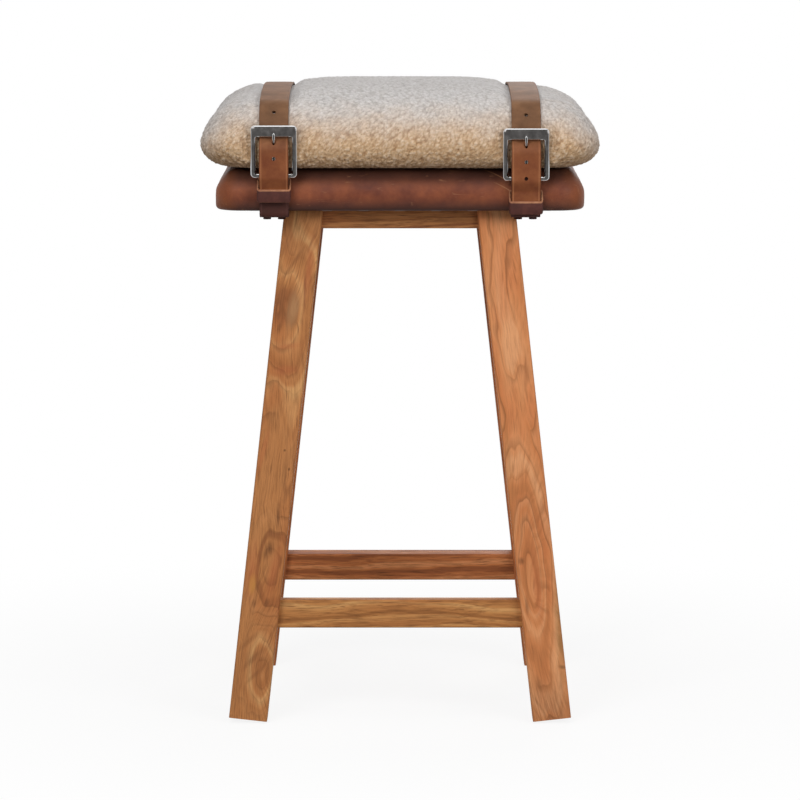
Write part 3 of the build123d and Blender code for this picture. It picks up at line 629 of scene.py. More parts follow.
def soften(path):
    """Rounds a strap's path where it lies over the cushion: a weighted mean over 20 mm, above the buckle."""
    weights = np.hanning(25)[1:-1]
    weights /= weights.sum()
    reach = len(weights) // 2
    padded = np.pad(path, ((reach, reach), (0, 0)), "edge")
    mean = np.stack([np.convolve(padded[:, axis], weights, "valid") for axis in range(2)], -1)
    share = smooth_step(path[:, 1], 617 * MM, 630 * MM)[:, None]
    return path + (mean - path) * share


def band_profile():
    """Section of a strap: rounded edges, and a pressed line inside each edge of its outer side.

    Points run round the section. The first value is the place across, the second the height out
    of the middle layer; the edge is a half ellipse and the line a narrow bell-shaped dip.
    """
    round_edge, crown_high, line_deep, line_wide = 0.8 * MM, 0.12 * MM, 0.22 * MM, 0.35 * MM
    half = STRAP_WIDTH / 2
    side_high = STRAP_THICKNESS / 2 - crown_high
    across = np.linspace(-1, 1, 61) * (half - round_edge)
    dip = line_deep * np.exp(-(((np.abs(across) - (half - LINE_INSET)) / line_wide) ** 2))
    crown = crown_high * (1 - (across / half) ** 2)
    outer = np.stack([across, side_high + crown - dip], -1)
    swing = np.linspace(math.pi / 2, -math.pi / 2, 9)[1:-1]
    right = np.stack([half - round_edge + round_edge * np.cos(swing), side_high * np.sin(swing)], -1)
    back = across[::-4]
    inner = np.stack([back, np.full(len(back), -(STRAP_THICKNESS / 2 - 0.1 * MM))], -1)
    left = right[::-1] * (-1, 1)
    return np.concatenate([outer, right, inner, left])


def strap_piece(name, lane, corners, radii, material, slot, replaces, holes=()):
    """A strap: the band section carried along a path in the lane's upright plane, then punched.

    Point = path(u) + across * X + out * normal(u), the normal being the path's heading turned a
    quarter so that it points outwards. Both ends are closed by a cap.
    """
    path, along = path_points(corners, radii)
    path = soften(path)
    heading = unit_headings(path, along)
    normal = outer_side(heading)
    profile = band_profile()
    across, out = profile[:, 0], profile[:, 1]
    grid = np.empty((len(path), len(profile), 3))
    grid[..., 0] = lane + across[None, :]
    grid[..., 1:] = path[:, None, :] + normal[:, None, :] * out[None, :, None]
    lie = np.empty_like(grid)
    lie[..., 0] = along[:, None]
    lie[..., 1] = across[None, :]
    lie[..., 2] = out[None, :]
    faces = capped_tube(len(path), len(profile))
    strap = new_piece(name, grid, faces, material, "stool", replaces, lie)
    if holes:
        punch_holes(strap, lane, path, along, heading, normal, holes)


def punch_holes(strap, lane, path, along, heading, normal, holes):
    """Cuts round or long holes through a strap: elliptical punches that stand square on its path.

    Each hole is (height where it starts to be counted, steps along from there, half length).
    """
    outward(strap)
    turn = around(24)
    punch_points, punch_faces = [], []
    for height, steps, half_length in holes:
        start = along[np.flatnonzero(path[:, 1] >= height)[-1]]
        at = np.interp(start + steps * HOLE_PITCH, along, np.arange(len(along)))
        middle = np.array([np.interp(at, np.arange(len(path)), path[:, axis]) for axis in range(2)])
        run, way = heading[int(at)], normal[int(at)]
        ring = np.empty((2, len(turn), 3))
        ring[..., 0] = lane + HOLE_RADIUS * np.cos(turn)
        for end, reach in enumerate((-PUNCH_REACH, PUNCH_REACH)):
            ring[end, :, 1:] = middle + reach * way + (half_length * np.sin(turn))[:, None] * run
        base = len(punch_points) * 2 * len(turn)
        punch_points.append(ring)
        punch_faces += [[base + corner for corner in face] for face in capped_tube(2, len(turn))]
    mesh = bpy.data.meshes.new("punch")
    mesh.from_pydata(np.array(punch_points).reshape(-1, 3).tolist(), [], punch_faces)
    punch = add_object("punch", mesh)
    outward(punch)
    cut = strap.modifiers.new("holes", "BOOLEAN")
    cut.operation = "DIFFERENCE"
    cut.solver = "EXACT"
    cut.object = punch
    bake_modifiers(strap)
    bpy.data.objects.remove(punch)
    strap.data.set_sharp_from_angle(angle=math.radians(40))


def cell_noise(points, size, seed):
    """Distances, in cells, to the nearest and second nearest of points strewn one in each cube of a lattice.

    A point's place in its cube comes from the cube's whole numbers and the seed, mixed by large
    odd factors and shifts. The third value is the nearest point's own, even from 0 to 1.
    """
    cells = np.floor(points / size).astype(np.int64)
    inside = points / size - cells
    first = np.full(len(points), 9.0)
    second = np.full(len(points), 9.0)
    pick = np.zeros(len(points))
    for offset in np.ndindex(3, 3, 3):
        step = np.array(offset) - 1
        near = cells + step
        jitter = np.empty((len(points), 3))
        for axis in range(3):
            mixed = (near[:, 0] * 73856093) ^ (near[:, 1] * 19349663) ^ (near[:, 2] * 83492791)
            mixed = mixed + (axis + 1) * 1013904223 + seed * 69069
            mixed = (mixed ^ (mixed >> 13)) * 1274126177
            mixed = mixed ^ (mixed >> 16)
            jitter[:, axis] = (mixed & 0xFFFF) / 65535.0
        distance = np.linalg.norm(step + jitter - inside, axis=1)
        closer = distance < first
        second = np.where(closer, first, np.minimum(second, distance))
        pick = np.where(closer, jitter[:, 0], pick)
        first = np.where(closer, distance, first)
    return first, second, pick


def box_shell(across, deep, up):
    """Points of a closed box-like grid, on the cube from -1 to 1, and its faces.

    Top and bottom are across x deep grids, and the sides are up rows of the same outline.
    """
    x = np.linspace(-1, 1, across + 1)
    y = np.linspace(-1, 1, deep + 1)
    gx, gy = np.meshgrid(x, y, indexing="ij")
    index = np.arange(gx.size).reshape(gx.shape)
    ring = np.concatenate([index[:-1, 0], index[-1, :-1], index[:0:-1, -1], index[0, :0:-1]])
    flat = np.stack([gx.ravel(), gy.ravel()], -1)
    levels = np.linspace(-1, 1, up + 1)
    bottom = np.column_stack([flat, np.full(len(flat), -1.0)])
    top = np.column_stack([flat, np.full(len(flat), 1.0)])
    walls = [np.column_stack([flat[ring], np.full(len(ring), level)]) for level in levels[1:-1]]
    points = np.concatenate([bottom, top, *walls])
    quads = grid_faces(across + 1, deep + 1)
    faces = [quads[:, ::-1], quads + len(flat)]
    rings = [ring]
    rings += [2 * len(flat) + np.arange(len(ring)) + level * len(ring) for level in range(up - 1)]
    rings.append(ring + len(flat))
    for low, high in zip(rings[:-1], rings[1:]):
        faces.append(np.stack([low, np.roll(low, -1), np.roll(high, -1), high], -1))
    quads = np.concatenate(faces)
    corners = points[quads]
    normal = np.cross(corners[:, 1] - corners[:, 0], corners[:, 2] - corners[:, 0])
    wrong = (normal * corners.mean(1)).sum(1) < 0
    quads[wrong] = quads[wrong][:, ::-1]
    return points, quads


def ring_place(cube):
    """For points on the cube: how far from the pole (0 to 1) and the place on the square outline."""
    reach = np.maximum(np.abs(cube[:, 0]), np.abs(cube[:, 1]))
    safe = np.where(reach < 1e-9, 1, reach)
    return reach, cube[:, 0] / safe, cube[:, 1] / safe


def rounded_outline(px, py, half_width, half_depth, corner, bow):
    """Place on a round-cornered rectangle of a point on the unit square's outline.

    The square's point is spread over the sides and the quarter arcs by length, so the corner of
    the square falls on the middle of the arc. The sides are drawn in by bow at their middles.
    """
    on_x = np.abs(px) >= np.abs(py)
    run = np.where(on_x, np.abs(py), np.abs(px))
    long_half = np.where(on_x, half_depth, half_width)
    arc = corner * math.pi / 4
    straight = long_half - corner
    share = run * (straight + arc)
    on_arc = share > straight
    angle = np.where(on_arc, (share - straight) / corner, 0)
    along = np.where(on_arc, straight + corner * np.sin(angle), share)
    out = np.where(on_arc, corner * (1 - np.cos(angle)), 0)
    out = out + bow * np.clip(1 - (along / straight) ** 2, 0, 1)
    along = along * np.sign(np.where(on_x, py, px))
    x = np.where(on_x, np.sign(px) * (half_width - out), along)
    y = np.where(on_x, along, np.sign(py) * (half_depth - out))
    return x, y


# Camera, floor and light

SKY = 0.27
FLOOR_BOUNCE = 0.32
FLOOR_HALF = 60.0
CAMERA_PLACE = (0, -4.252, 0.8947)
CAMERA_DOWN = 0.1353
LENS = 180.6


def add_camera():
    """The photograph's view: a long lens, 4.25 m in front, 7.75 degrees down."""
    data = bpy.data.cameras.new("camera")
    data.sensor_width = 36.0
    data.lens = LENS
    camera = add_object("camera", data)
    camera.location = CAMERA_PLACE
    camera.rotation_euler = (math.pi / 2 - CAMERA_DOWN, 0, 0)
    bpy.context.scene.camera = camera


def seen_rays(tree):
    """1 for camera, glossy and transmission rays, which see the background's own white, else 0."""
    ray = put(tree, "LightPath", out=None).outputs
    seen = ray["Is Camera Ray"]
    for kind in ("Is Transmission Ray", "Is Glossy Ray"):
        seen = put(tree, "Math", {0: seen, 1: ray[kind]}, operation="MAXIMUM")
    return seen


def add_stage():
    """A white floor and a white world. The floor shows as white, with the stool's soft shadow.

    Camera, glossy and transmission rays see that white. Everything else gets a weak even sky, and
    the floor throws back less light than it shows.
    """
    world = bpy.data.worlds.new("white_world")
    bpy.context.scene.world = world
    world.use_nodes = True
    tree = world.node_tree
    tree.nodes.clear()
    shown = seen_rays(tree)
    strength = put(tree, "MapRange", {"Value": shown, "To Min": SKY, "To Max": 1.0})
    background = put(tree, "Background", {"Color": (1, 1, 1, 1), "Strength": strength})
    put(tree, "OutputWorld", {"Surface": background}, out=None)

    material, tree = new_material("white_paint")
    place = put(tree, "TexCoord", out="Object")
    far = put(tree, "VectorMath", {0: place}, out="Value", operation="LENGTH")
    shown = seen_rays(tree)
    near = put(
        tree, "MapRange", {"Value": far, "From Min": 0.25, "From Max": 0.9, "To Min": 0.12, "To Max": 0.0},
        interpolation_type="SMOOTHSTEP",
    )
    unseen = put(tree, "Math", {0: 1.0, 1: shown}, operation="SUBTRACT")
    share = put(tree, "Math", {0: near, 1: unseen}, operation="MAXIMUM")
    grey = put(tree, "MapRange", {"Value": shown, "To Min": FLOOR_BOUNCE, "To Max": 0.9})
    matt = put(tree, "BsdfDiffuse", {"Color": grey})
    white = put(tree, "Emission", {"Color": (1, 1, 1, 1), "Strength": 1.0})
    mixed = put(tree, "MixShader", {0: share, 1: white, 2: matt})
    put(tree, "OutputMaterial", {"Surface": mixed}, out=None)
    mesh = bpy.data.meshes.new("floor")
    corners = [(x * FLOOR_HALF, y * FLOOR_HALF, 0) for x, y in ((-1, -1), (1, -1), (1, 1), (-1, 1))]
    mesh.from_pydata(corners, [], [(0, 1, 2, 3)])
    floor = add_object("floor", mesh)
    mesh.materials.append(material)


def add_light(name, place, aim, size, power):
    """A soft square lamp at a place, aimed at a point."""
    data = bpy.data.lights.new(name, "AREA")
    data.shape = "SQUARE"
    data.size = size
    data.energy = power
    lamp = add_object(name, data)
    away = np.array(place) - np.array(aim)
    lamp.location = place
    tilt = math.atan2(math.hypot(away[0], away[1]), away[2])
    lamp.rotation_euler = (tilt, 0, math.atan2(away[1], away[0]) + math.pi / 2)


add_camera()
add_stage()
# Each lamp: its place, the point that it is aimed at, size in metres and power in watts
for name, place, aim, size, power in (
    ("top_light", (0.1, -0.6, 2.5), (0, 0, 0.5), 1.4, 10),
    ("front_left_light", (-1.3, -2.7, 2.4), (0, 0, 0.4), 1.6, 56),
    ("front_right_light", (2.0, -2.4, 1.5), (0, 0, 0.4), 1.6, 36),
    ("rear_light", (0.8, 2.9, 1.9), (0, 0, 0.4), 1.6, 24),
):
    add_light(name, place, aim, size, power)
bpy.context.scene.view_settings.view_transform = "Standard"


# Wood

def paint(name, material):
    """Gives one of the part's own pieces a material."""
    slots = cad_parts[name].data.materials
    slots.clear()
    slots.append(material)


WOOD_TONES = ("base", "mid", "dark", "light", "pore", "red")
HONEY = dict(zip(WOOD_TONES, ("C28450", "B47745", "975F37", "D29B63", "5E381F", "B0693A")))
ORANGE = dict(zip(WOOD_TONES, ("D8915E", "CE8350", "B77344", "E2A170", "8A5430", "CD7645")))
STRAW = dict(zip(WOOD_TONES, ("C0854D", "B37742", "996335", "CE985E", "674022", "B3703D")))
RUSSET = dict(zip(WOOD_TONES, ("C67B4A", "B66D3E", "985934", "D78F5C", "5A331C", "AC6038")))
DARK_MARK = "5E3A22"
STREAK_AND_SHADE_TONE = "7C4F2F"
RED_MARK = "B0603A"
GOLD_MARK = "C68A40"
OLIVE_MARK = "8C6639"
PALE_MARK = "C59A6C"
KNOT = "2F1C10"
SIDE_SLOPE = 0.1115
DEPTH_SLOPE = 0.0755
LEG_X = 0.1592
LEG_Y = 0.1510

# Each leg: which way it lies from the middle, its pith's place, tones, lines, streak, swirls, marks.
# A swirl: across, deep, along, half width, half length, push, in metres.
# A mark: across, along, half width, half length in millimetres, lean in radians, strength, colour.
leg_looks = {
    "front_left_leg": (
        (-1, -1), (0.06, 0.13, 0), HONEY, 0.4, 0.6,
        [(0.002, -0.02, 0.432, 0.026, 0.090, 0.017), (0.004, -0.02, 0.165, 0.026, 0.070, -0.018),
         (0.010, -0.02, 0.050, 0.030, 0.075, 0.024)],
        [(-3, 478, 2.6, 26, 0.52, 0.6, STREAK_AND_SHADE_TONE), (11, 450, 1.8, 26, -0.08, 0.6, DARK_MARK),
         (13, 470, 5, 42, 0.02, 0.5, RED_MARK), (2, 431, 9, 28, 0.1, 0.5, PALE_MARK),
         (-11, 410, 3, 9, 0.2, 0.5, DARK_MARK), (0, 391, 4, 15, 1.45, 0.5, RED_MARK),
         (0, 366, 7, 17, 1.5, 0.45, RED_MARK), (8.5, 283.6, 1.5, 1.8, 0, 1.0, KNOT),
         (15, 264, 1.6, 2.2, 0, 0.9, KNOT), (-14, 281, 4, 32, 0.15, 0.45, RED_MARK),
         (9, 218, 2.6, 17, -0.05, 0.65, DARK_MARK), (3, 180, 6, 12, 0.3, 0.7, DARK_MARK),
         (-12, 161, 8, 38, 0.0, 0.5, RED_MARK), (-10, 145, 5, 13, 0.0, 0.75, GOLD_MARK),
         (11, 160, 7, 34, 0.1, 0.45, RED_MARK), (-6, 125, 3, 6, 0.0, 0.7, DARK_MARK),
         (7, 126, 3, 6, 0.2, 0.7, DARK_MARK), (-5, 88, 4, 18, 0.75, 0.55, STREAK_AND_SHADE_TONE),
         (0, 68, 4, 20, 0.75, 0.6, STREAK_AND_SHADE_TONE), (4, 52, 3, 16, 0.75, 0.5, STREAK_AND_SHADE_TONE),
         # Painted shade: the broad mark 508 mm up darkens the whole front face under the seat; the broad mark
         # 62 mm up darkens it towards the foot
         (0, 508, 40, 30, 0.0, 0.35, STREAK_AND_SHADE_TONE), (0, 62, 40, 28, 0.0, 0.2, STREAK_AND_SHADE_TONE)],
    ),
    "front_right_leg": (
        (1, -1), (0.0, 0.26, 0), ORANGE, 0.75, 0.45,
        [(-0.006, -0.02, 0.135, 0.034, 0.190, 0.031)],
        [(-15, 169, 4, 5, 0.3, 0.75, DARK_MARK), (-14, 123, 2.2, 13, 0.0, 0.6, DARK_MARK),
         (15.5, 59, 4.5, 2.8, 0.2, 0.85, DARK_MARK), (17, 100, 6, 68, 0.05, 0.65, OLIVE_MARK),
         (-1, 143, 6, 46, 0.0, 0.5, RED_MARK), (-10, 41, 4, 11, -0.3, 0.5, STREAK_AND_SHADE_TONE),
         (-13, 20, 2, 14, -0.5, 0.5, STREAK_AND_SHADE_TONE), (-16, 290, 4, 60, 0.0, 0.3, OLIVE_MARK),
         # The broad marks darken the whole front face from about 140 to 290 mm up, and towards the foot
         (0, 215, 40, 65, 0.0, 0.16, STREAK_AND_SHADE_TONE), (0, 14, 40, 46, 0.0, 0.5, STREAK_AND_SHADE_TONE)],
    ),
    "rear_left_leg": ((-1, 1), (0.05, 0.10, 0), RUSSET, 0.4, 0.7, [(0.0, 0.02, 0.36, 0.03, 0.12, 0.02)], []),
    "rear_right_leg": ((1, 1), (-0.08, 0.14, 0), RUSSET, 0.4, 0.7, [(0.0, 0.02, 0.22, 0.03, 0.14, 0.02)], []),
}
for name, ((sx, sy), pith, tones, lines, streak, swirls, marks) in leg_looks.items():
    # A leg leans in as it rises: its grain runs along that lean
    rows = ((1, 0, sx * SIDE_SLOPE), (0, 1, sy * DEPTH_SLOPE), (0, 0, 1))
    middle = (sx * LEG_X, sy * LEG_Y, 0)
    wood = oiled_mango_wood("oiled_mango_" + name, rows, middle, pith, tones, swirls, marks, lines, streak)
    paint(name, wood)
ALONG_X = ((0, 1, 0), (0, 0, 1), (1, 0, 0))
ALONG_Y = ((1, 0, 0), (0, 0, 1), (0, 1, 0))
# Each rail, block or board: which way its grain runs, its middle, its pith's place and tones
rail_looks = {
    "front_rung": (ALONG_X, (-0.13, 0.11, 0.02), (0.03, 0.09, 0), STRAW),
    "rear_rung": (ALONG_X, (0.13, 0.11, 0.33), (-0.06, 0.07, 0), RUSSET),
    "left_rung": (ALONG_Y, (-0.15, 0.11, 0.22), (0.05, 0.08, 0), HONEY),
    "right_rung": (ALONG_Y, (0.15, 0.11, 0.41), (0.04, 0.07, 0), ORANGE),
    "front_apron": (ALONG_X, (-0.12, 0.51, 0.61), (0.05, 0.05, 0), HONEY),
    "rear_apron": (ALONG_X, (0.12, 0.51, 0.13), (0.04, 0.08, 0), RUSSET),
    "left_apron": (ALONG_Y, (-0.12, 0.51, 0.31), (0.04, 0.06, 0), HONEY),
    "right_apron": (ALONG_Y, (0.12, 0.51, 0.83), (0.06, 0.05, 0), HONEY),
    "corner_blocks": (ALONG_X, (0.03, 0.50, 0.52), (0.05, 0.09, 0), STRAW),
    "seat_board": (ALONG_X, (0.06, 0.54, 0.47), (0.0, 0.12, 0), STRAW),
}
for name, (rows, middle, pith, tones) in rail_looks.items():
    paint(name, oiled_mango_wood("oiled_mango_" + name, rows, middle, pith, tones))

# Each steel: tone, roughness, and the pieces that are made of it
steels = {
    "blackened_screw_steel": ("3C3936", 0.42, ["corner_block_screws"]),
    "browned_screw_steel": ("3A2320", 0.7, ["left_strap_screws", "right_strap_screws"]),
    "galvanised_staple_wire": ("A8A8A6", 0.42, ["cover_staples"]),
    "tubular_rivet_steel": ("A0A09E", 0.32, ["left_chape_rivets", "right_chape_rivets"]),
}
for finish, (tone, rough, names) in steels.items():
    steel = plain_steel(finish, tone, rough)
    for name in names:
        paint(name, steel)
paint("seat_foam", pale_fill("open_cell_foam", "E6DDBE", 500.0))
paint("cushion_filling", pale_fill("loose_fibre", "EFECE4", 300.0))


# Straps


def long_strap_corners(side):
    """Corner places (y, z) and bend radii of a long strap, in millimetres, from its rear fold to its tail."""
    bar, heel = side["bar"], side["heel"]
    corners = [
        (150.80, 530.00), (135.30, 530.00), (135.30, 526.80), (153.70, 526.80), (153.70, 560.60),
        (161.80, 592.73), (161.80, 606.71), (155.49, 626.72), (139.96, 642.22), (84.95, 649.89),
        (0.00, 653.30), (-84.95, 649.89), (-139.96, 642.22), (-155.49, 626.72), (-157.25, bar),
        (-166.60, bar - 8.5), (-166.60, heel - 2.8), (-162.00, heel - 12.8), (-162.00, side["tail"]),
    ]
    radii = [0, 0, 3.5, 40.0, 25.0, 20.0, 25.0, 30.0, 300.0, 900.0, 300.0, 30.0, 25.0, 6.0, 8.0, 8.0, 8.0]
    return corners, radii


def buckle_strap_corners(side):
    """Corner places and radii of a lower strap: return end, round the heel bar, down, and folded under."""
    heel = side["heel"]
    corners = [
        (-158.90, heel - 22), (-158.90, heel - 12), (-163.50, heel - 2), (-163.50, heel + 3.85),
        (-155.80, heel + 3.85), (-155.80, 526.80), (-137.40, 526.80), (-137.40, 530.00), (-152.90, 530.00),
    ]
    return corners, [8.0, 8.0, 3.85, 3.85, 3.5, 0, 0]


olive_strap = strap_leather(
    "olive_brown_strap_leather",
    upper_tones=("5E412B", "704E35", "7F5C40"), lower_tones=("6E3A22", "814A2B", "915736"),
    edge_tone="A8704A", raw_tone="5C3B27",
)
maroon_strap = strap_leather(
    "maroon_lower_strap_leather",
    upper_tones=("3A1F1A", "472620", "522D26"), lower_tones=("381F1A", "45251F", "502C25"),
    edge_tone="553430", raw_tone="34201E",
)
for label, side in SIDES.items():
    lane = side["sign"] * STRAP_OFFSET
    crossing = (side["heel"] + PRONG_CROSSING) * MM
    # The hole that the prong goes through is pulled long. Two more lie above it, the free ones below
    steps = range(-2, side["free_holes"] + 1)
    holes = [(crossing, step, LONG_HOLE_HALF if step == 0 else HOLE_RADIUS) for step in steps]
    strap_piece(
        f"{label}_long_strap_leather", lane, *long_strap_corners(side), olive_strap,
        "strap_leather", [f"{label}_long_strap"], holes,
    )
    strap_piece(
        f"{label}_lower_strap_leather", lane, *buckle_strap_corners(side), maroon_strap,
        "lower_strap_leather", [f"{label}_buckle_strap"],
    )


# Keepers


def keeper_leather(name):
    """Keeper leather: dark maroon outside, pale raw fibre on the cut top and bottom edges.

    The attribute "lie" holds the place round the loop, the place up it, and 1 on a cut edge.
    """
    material, tree = new_material(name)
    lie = put(tree, "Attribute", out="Vector", attribute_name="lie")
    edge = put(tree, "SeparateXYZ", {0: lie}, out="Z")
    place = put(tree, "TexCoord", out="Object")
    clouds = put(tree, "TexNoise", {"Vector": place, "Scale": 90.0, "Detail": 5.0, "Roughness": 0.6})
    skin = put(tree, "ValToRGB", {"Fac": clouds}, stops=[(0.3, "40221C"), (0.55, "4F2B25"), (0.75, "5B342B")])
    raw = put(tree, "ValToRGB", {"Fac": clouds}, stops=[(0.3, "82523B"), (0.55, "A27052"), (0.75, "B58463")])
    toned = put(tree, "Mix", {"Factor": edge, UNDER: skin, OVER: raw}, out=BLEND, data_type="RGBA")
    # Pebble 0.8 mm across
    pebble = put(tree, "TexVoronoi", {"Vector": place, "Scale": 1200.0}, feature="SMOOTH_F1")
    bump = put(tree, "Bump", {"Strength": 0.25, "Distance": 0.5 * MM, "Height": pebble})
    shader = put(
        tree, "BsdfPrincipled",
        {"Base Color": toned, "Roughness": 0.62, "Normal": bump, "Specular IOR Level": 0.2},
    )
    put(tree, "OutputMaterial", {"Surface": shader}, out=None)
    return material


def keeper_piece(name, lane, top, material, body, replaces):
    """A leather loop: a rounded wall section carried round a round-cornered rectangle.

    The loop is 34.8 x 13.2 mm outside with a 1.8 mm wall 12 mm high, and it rises 13 mm from its
    front to its back: height = top + 13 mm * share of the way back.
    """
    half_wide, half_deep, wall, high, rise = 17.4 * MM, 6.6 * MM, 1.8 * MM, 12 * MM, 13 * MM
    middle, corner, soft, cut_edge = -158.9 * MM, 2.6 * MM, 0.5 * MM, 0.35 * MM
    quarter = np.linspace(0, math.pi / 2, 9)
    outline = []
    for start, (sx, sy) in enumerate(((1, 1), (-1, 1), (-1, -1), (1, -1))):
        cos, sin = np.cos(quarter + start * math.pi / 2), np.sin(quarter + start * math.pi / 2)
        x = sx * (half_wide - corner) + corner * cos
        outline.append(np.stack([x, sy * (half_deep - corner) + corner * sin, cos, sin], -1))
    ring = np.concatenate(outline)
    closed = np.vstack([ring, ring[:1]])
    length = run_length(closed[:, :2])
    even = np.linspace(0, length[-1], 121)[:-1]
    ring = np.stack([np.interp(even, length, closed[:, i]) for i in range(4)], -1)
    ring[:, 2:] /= np.linalg.norm(ring[:, 2:], axis=1)[:, None]
    bend = np.linspace(0, math.pi / 2, 4)
    section = []
    for turn, (sx, sz) in enumerate(((1, 1), (-1, 1), (-1, -1), (1, -1))):
        cos, sin = np.cos(bend + turn * math.pi / 2), np.sin(bend + turn * math.pi / 2)
        x = sx * (wall / 2 - soft) + soft * cos
        section.append(np.stack([x, sz * (high / 2 - soft) + soft * sin], -1))
    section = np.concatenate(section)
    out, up = section[:, 0] - wall / 2, section[:, 1] - high / 2
    grid = np.empty((len(ring), len(section), 3))
    grid[..., 0] = lane + ring[:, None, 0] + ring[:, None, 2] * out[None, :]
    grid[..., 1] = middle + ring[:, None, 1] + ring[:, None, 3] * out[None, :]
    back = (grid[..., 1] - (middle - half_deep)) / (2 * half_deep)
    grid[..., 2] = top + rise * back + up[None, :]
    lie = np.zeros_like(grid)
    lie[..., 0] = even[:, None]
    lie[..., 1] = up[None, :]
    lie[..., 2] = (np.abs(up + high / 2) > high / 2 - cut_edge)[None, :]
    faces = grid_faces(len(ring), len(section), round_rows=True, round_columns=True)
    outward(new_piece(name, grid, faces, material, body, replaces, lie))


keeper_skin = keeper_leather("maroon_keeper_leather")
for label, side in SIDES.items():
    keeper_piece(
        f"{label}_keeper_leather", side["sign"] * STRAP_OFFSET, side["keeper_top"] * MM, keeper_skin,
        f"{label}_keeper", [f"{label}_keeper"],
    )


# Buckles

nickel = polished_nickel("polished_nickel_plate")
# The heel bar's place from front to back, and how many millimetres above it the wide bar starts
BUCKLE_Y = -159.65 * MM
BAR_LOW = 39.5
# How far forward the cushion may come behind a buckle
BUCKLE_BACK = -156.6 * MM


def outline_of(half_width, low, high, corner):
    """Round-cornered rectangle as points, counter-clockwise, with the same counts for any size."""
    side_count, corner_count = 40, 12
    right, top, bottom = half_width - corner, high - corner, low + corner
    spots = [(right, top), (-right, top), (-right, bottom), (right, bottom)]
    pieces = []
    for turn, spot in enumerate(spots):
        angle = np.linspace(turn, turn + 1, corner_count) * math.pi / 2
        pieces.append(np.array(spot) + corner * np.stack([np.cos(angle), np.sin(angle)], -1))
        last = (turn + 1) * math.pi / 2
        end = np.array(spots[(turn + 1) % 4]) + corner * np.array([math.cos(last), math.sin(last)])
        share = np.linspace(0, 1, side_count + 2)[1:-1, None]
        pieces.append(pieces[-1][-1] + (end - pieces[-1][-1]) * share)
    return np.concatenate(pieces)


def buckle_piece(name, lane, heel, material, body, replaces):
    """A buckle frame: a rounded section carried round between its outer and inner outlines.

    Point = middle + half width * cos(a) + half thickness * sin(a), both powers of 0.9 so that the
    section is a little flatter than an ellipse. The frame leans 1.5 mm forward over its 45.5 mm reach.
    """
    half_thick = 2.2 * MM
    lean = math.atan2(1.5, 45.5)
    outer = outline_of(half_width=23.8 * MM, low=-half_thick, high=51.5 * MM, corner=4.2 * MM)
    inner = outline_of(half_width=18.4 * MM, low=half_thick, high=BAR_LOW * MM, corner=1.6 * MM)
    middle = (outer + inner) / 2
    half = (outer - inner) / 2
    angle = around(24)
    flat = middle[:, None, :] + half[:, None, :] * signed_power(np.cos(angle), 0.9)[None, :, None]
    out = half_thick * signed_power(np.sin(angle), 0.9)
    grid = np.empty((len(outer), len(angle), 3))
    grid[..., 0] = lane + flat[..., 0]
    grid[..., 1] = BUCKLE_Y - flat[..., 1] * math.sin(lean) - out[None, :] * math.cos(lean)
    grid[..., 2] = heel + flat[..., 1] * math.cos(lean) - out[None, :] * math.sin(lean)
    faces = grid_faces(len(outer), len(angle), round_rows=True, round_columns=True)
    outward(new_piece(name, grid, faces, material, body, replaces))


def prong_piece(name, lane, heel, material, body, replaces):
    """A prong: a round bar along its bent path with a domed tip, and an eye round the heel bar.

    Bar: centre + radius * (cos a * X + sin a * X x heading), the radius following a quarter circle
    over the last 1.5 mm. Eye: a flattened section of 1.9 x 3.1 mm carried round at 3.3 mm.
    """
    bar = heel + BAR_LOW
    corners = [(-161.45, heel + 3.4), (-161.45, bar - 9), (-165.15, bar - 1), (-165.15, bar + 4.4)]
    path, along = path_points(corners, [8, 6])
    centres = np.column_stack([np.full(len(path), lane), path])
    headings = np.column_stack([np.zeros(len(path)), unit_headings(path, along)])
    tip = np.clip(1 - (along[-1] - along) / (1.5 * MM), 0, 1)
    radius = 1.55 * MM * np.sqrt(np.clip(1 - tip**2, 0.02, 1))
    angle = around(16)
    across = np.array([1.0, 0, 0])
    rod = (
        centres[:, None, :]
        + radius[:, None, None] * np.cos(angle)[None, :, None] * across[None, None, :]
        + radius[:, None, None] * np.sin(angle)[None, :, None] * np.cross(across, headings)[:, None, :]
    )
    turn, swing = around(40), around(16)
    reach = 3.3 * MM + (signed_power(np.cos(swing), 0.7) * 0.95 * MM)[None, :]
    eye = np.empty((len(turn), len(swing), 3))
    eye[..., 0] = lane + (signed_power(np.sin(swing), 0.7) * 1.55 * MM)[None, :]
    eye[..., 1] = BUCKLE_Y + reach * np.cos(turn)[:, None]
    eye[..., 2] = heel * MM + reach * np.sin(turn)[:, None]
    rows, columns = rod.shape[:2]
    faces = capped_tube(rows, columns)
    faces += (grid_faces(len(turn), len(swing), True, True) + rows * columns).tolist()
    points = np.concatenate([rod.reshape(-1, 3), eye.reshape(-1, 3)])
    outward(new_piece(name, points, faces, material, body, replaces))


for label, side in SIDES.items():
    lane = side["sign"] * STRAP_OFFSET
    heel = side["heel"]
    buckle_piece(
        f"{label}_buckle_frame_plate", lane, heel * MM, nickel, f"{label}_buckle", [f"{label}_buckle_frame"]
    )
    prong_piece(f"{label}_prong_bar", lane, heel, nickel, f"{label}_prong", [f"{label}_buckle_prong"])


# Leather seat pad

# Inset from the widest outline and height above the underside, in millimetres
PAD_SIDE = (
    (6.0, 0.0), (3.2, 0.5), (1.2, 2.4), (0.3, 6.0), (0.0, 11.0), (0.2, 16.0), (1.0, 20.8), (2.6, 25.4),
    (5.0, 29.8), (8.2, 33.8), (12.0, 37.3), (16.6, 40.2), (22.0, 41.9), (28.0, 42.5),
)


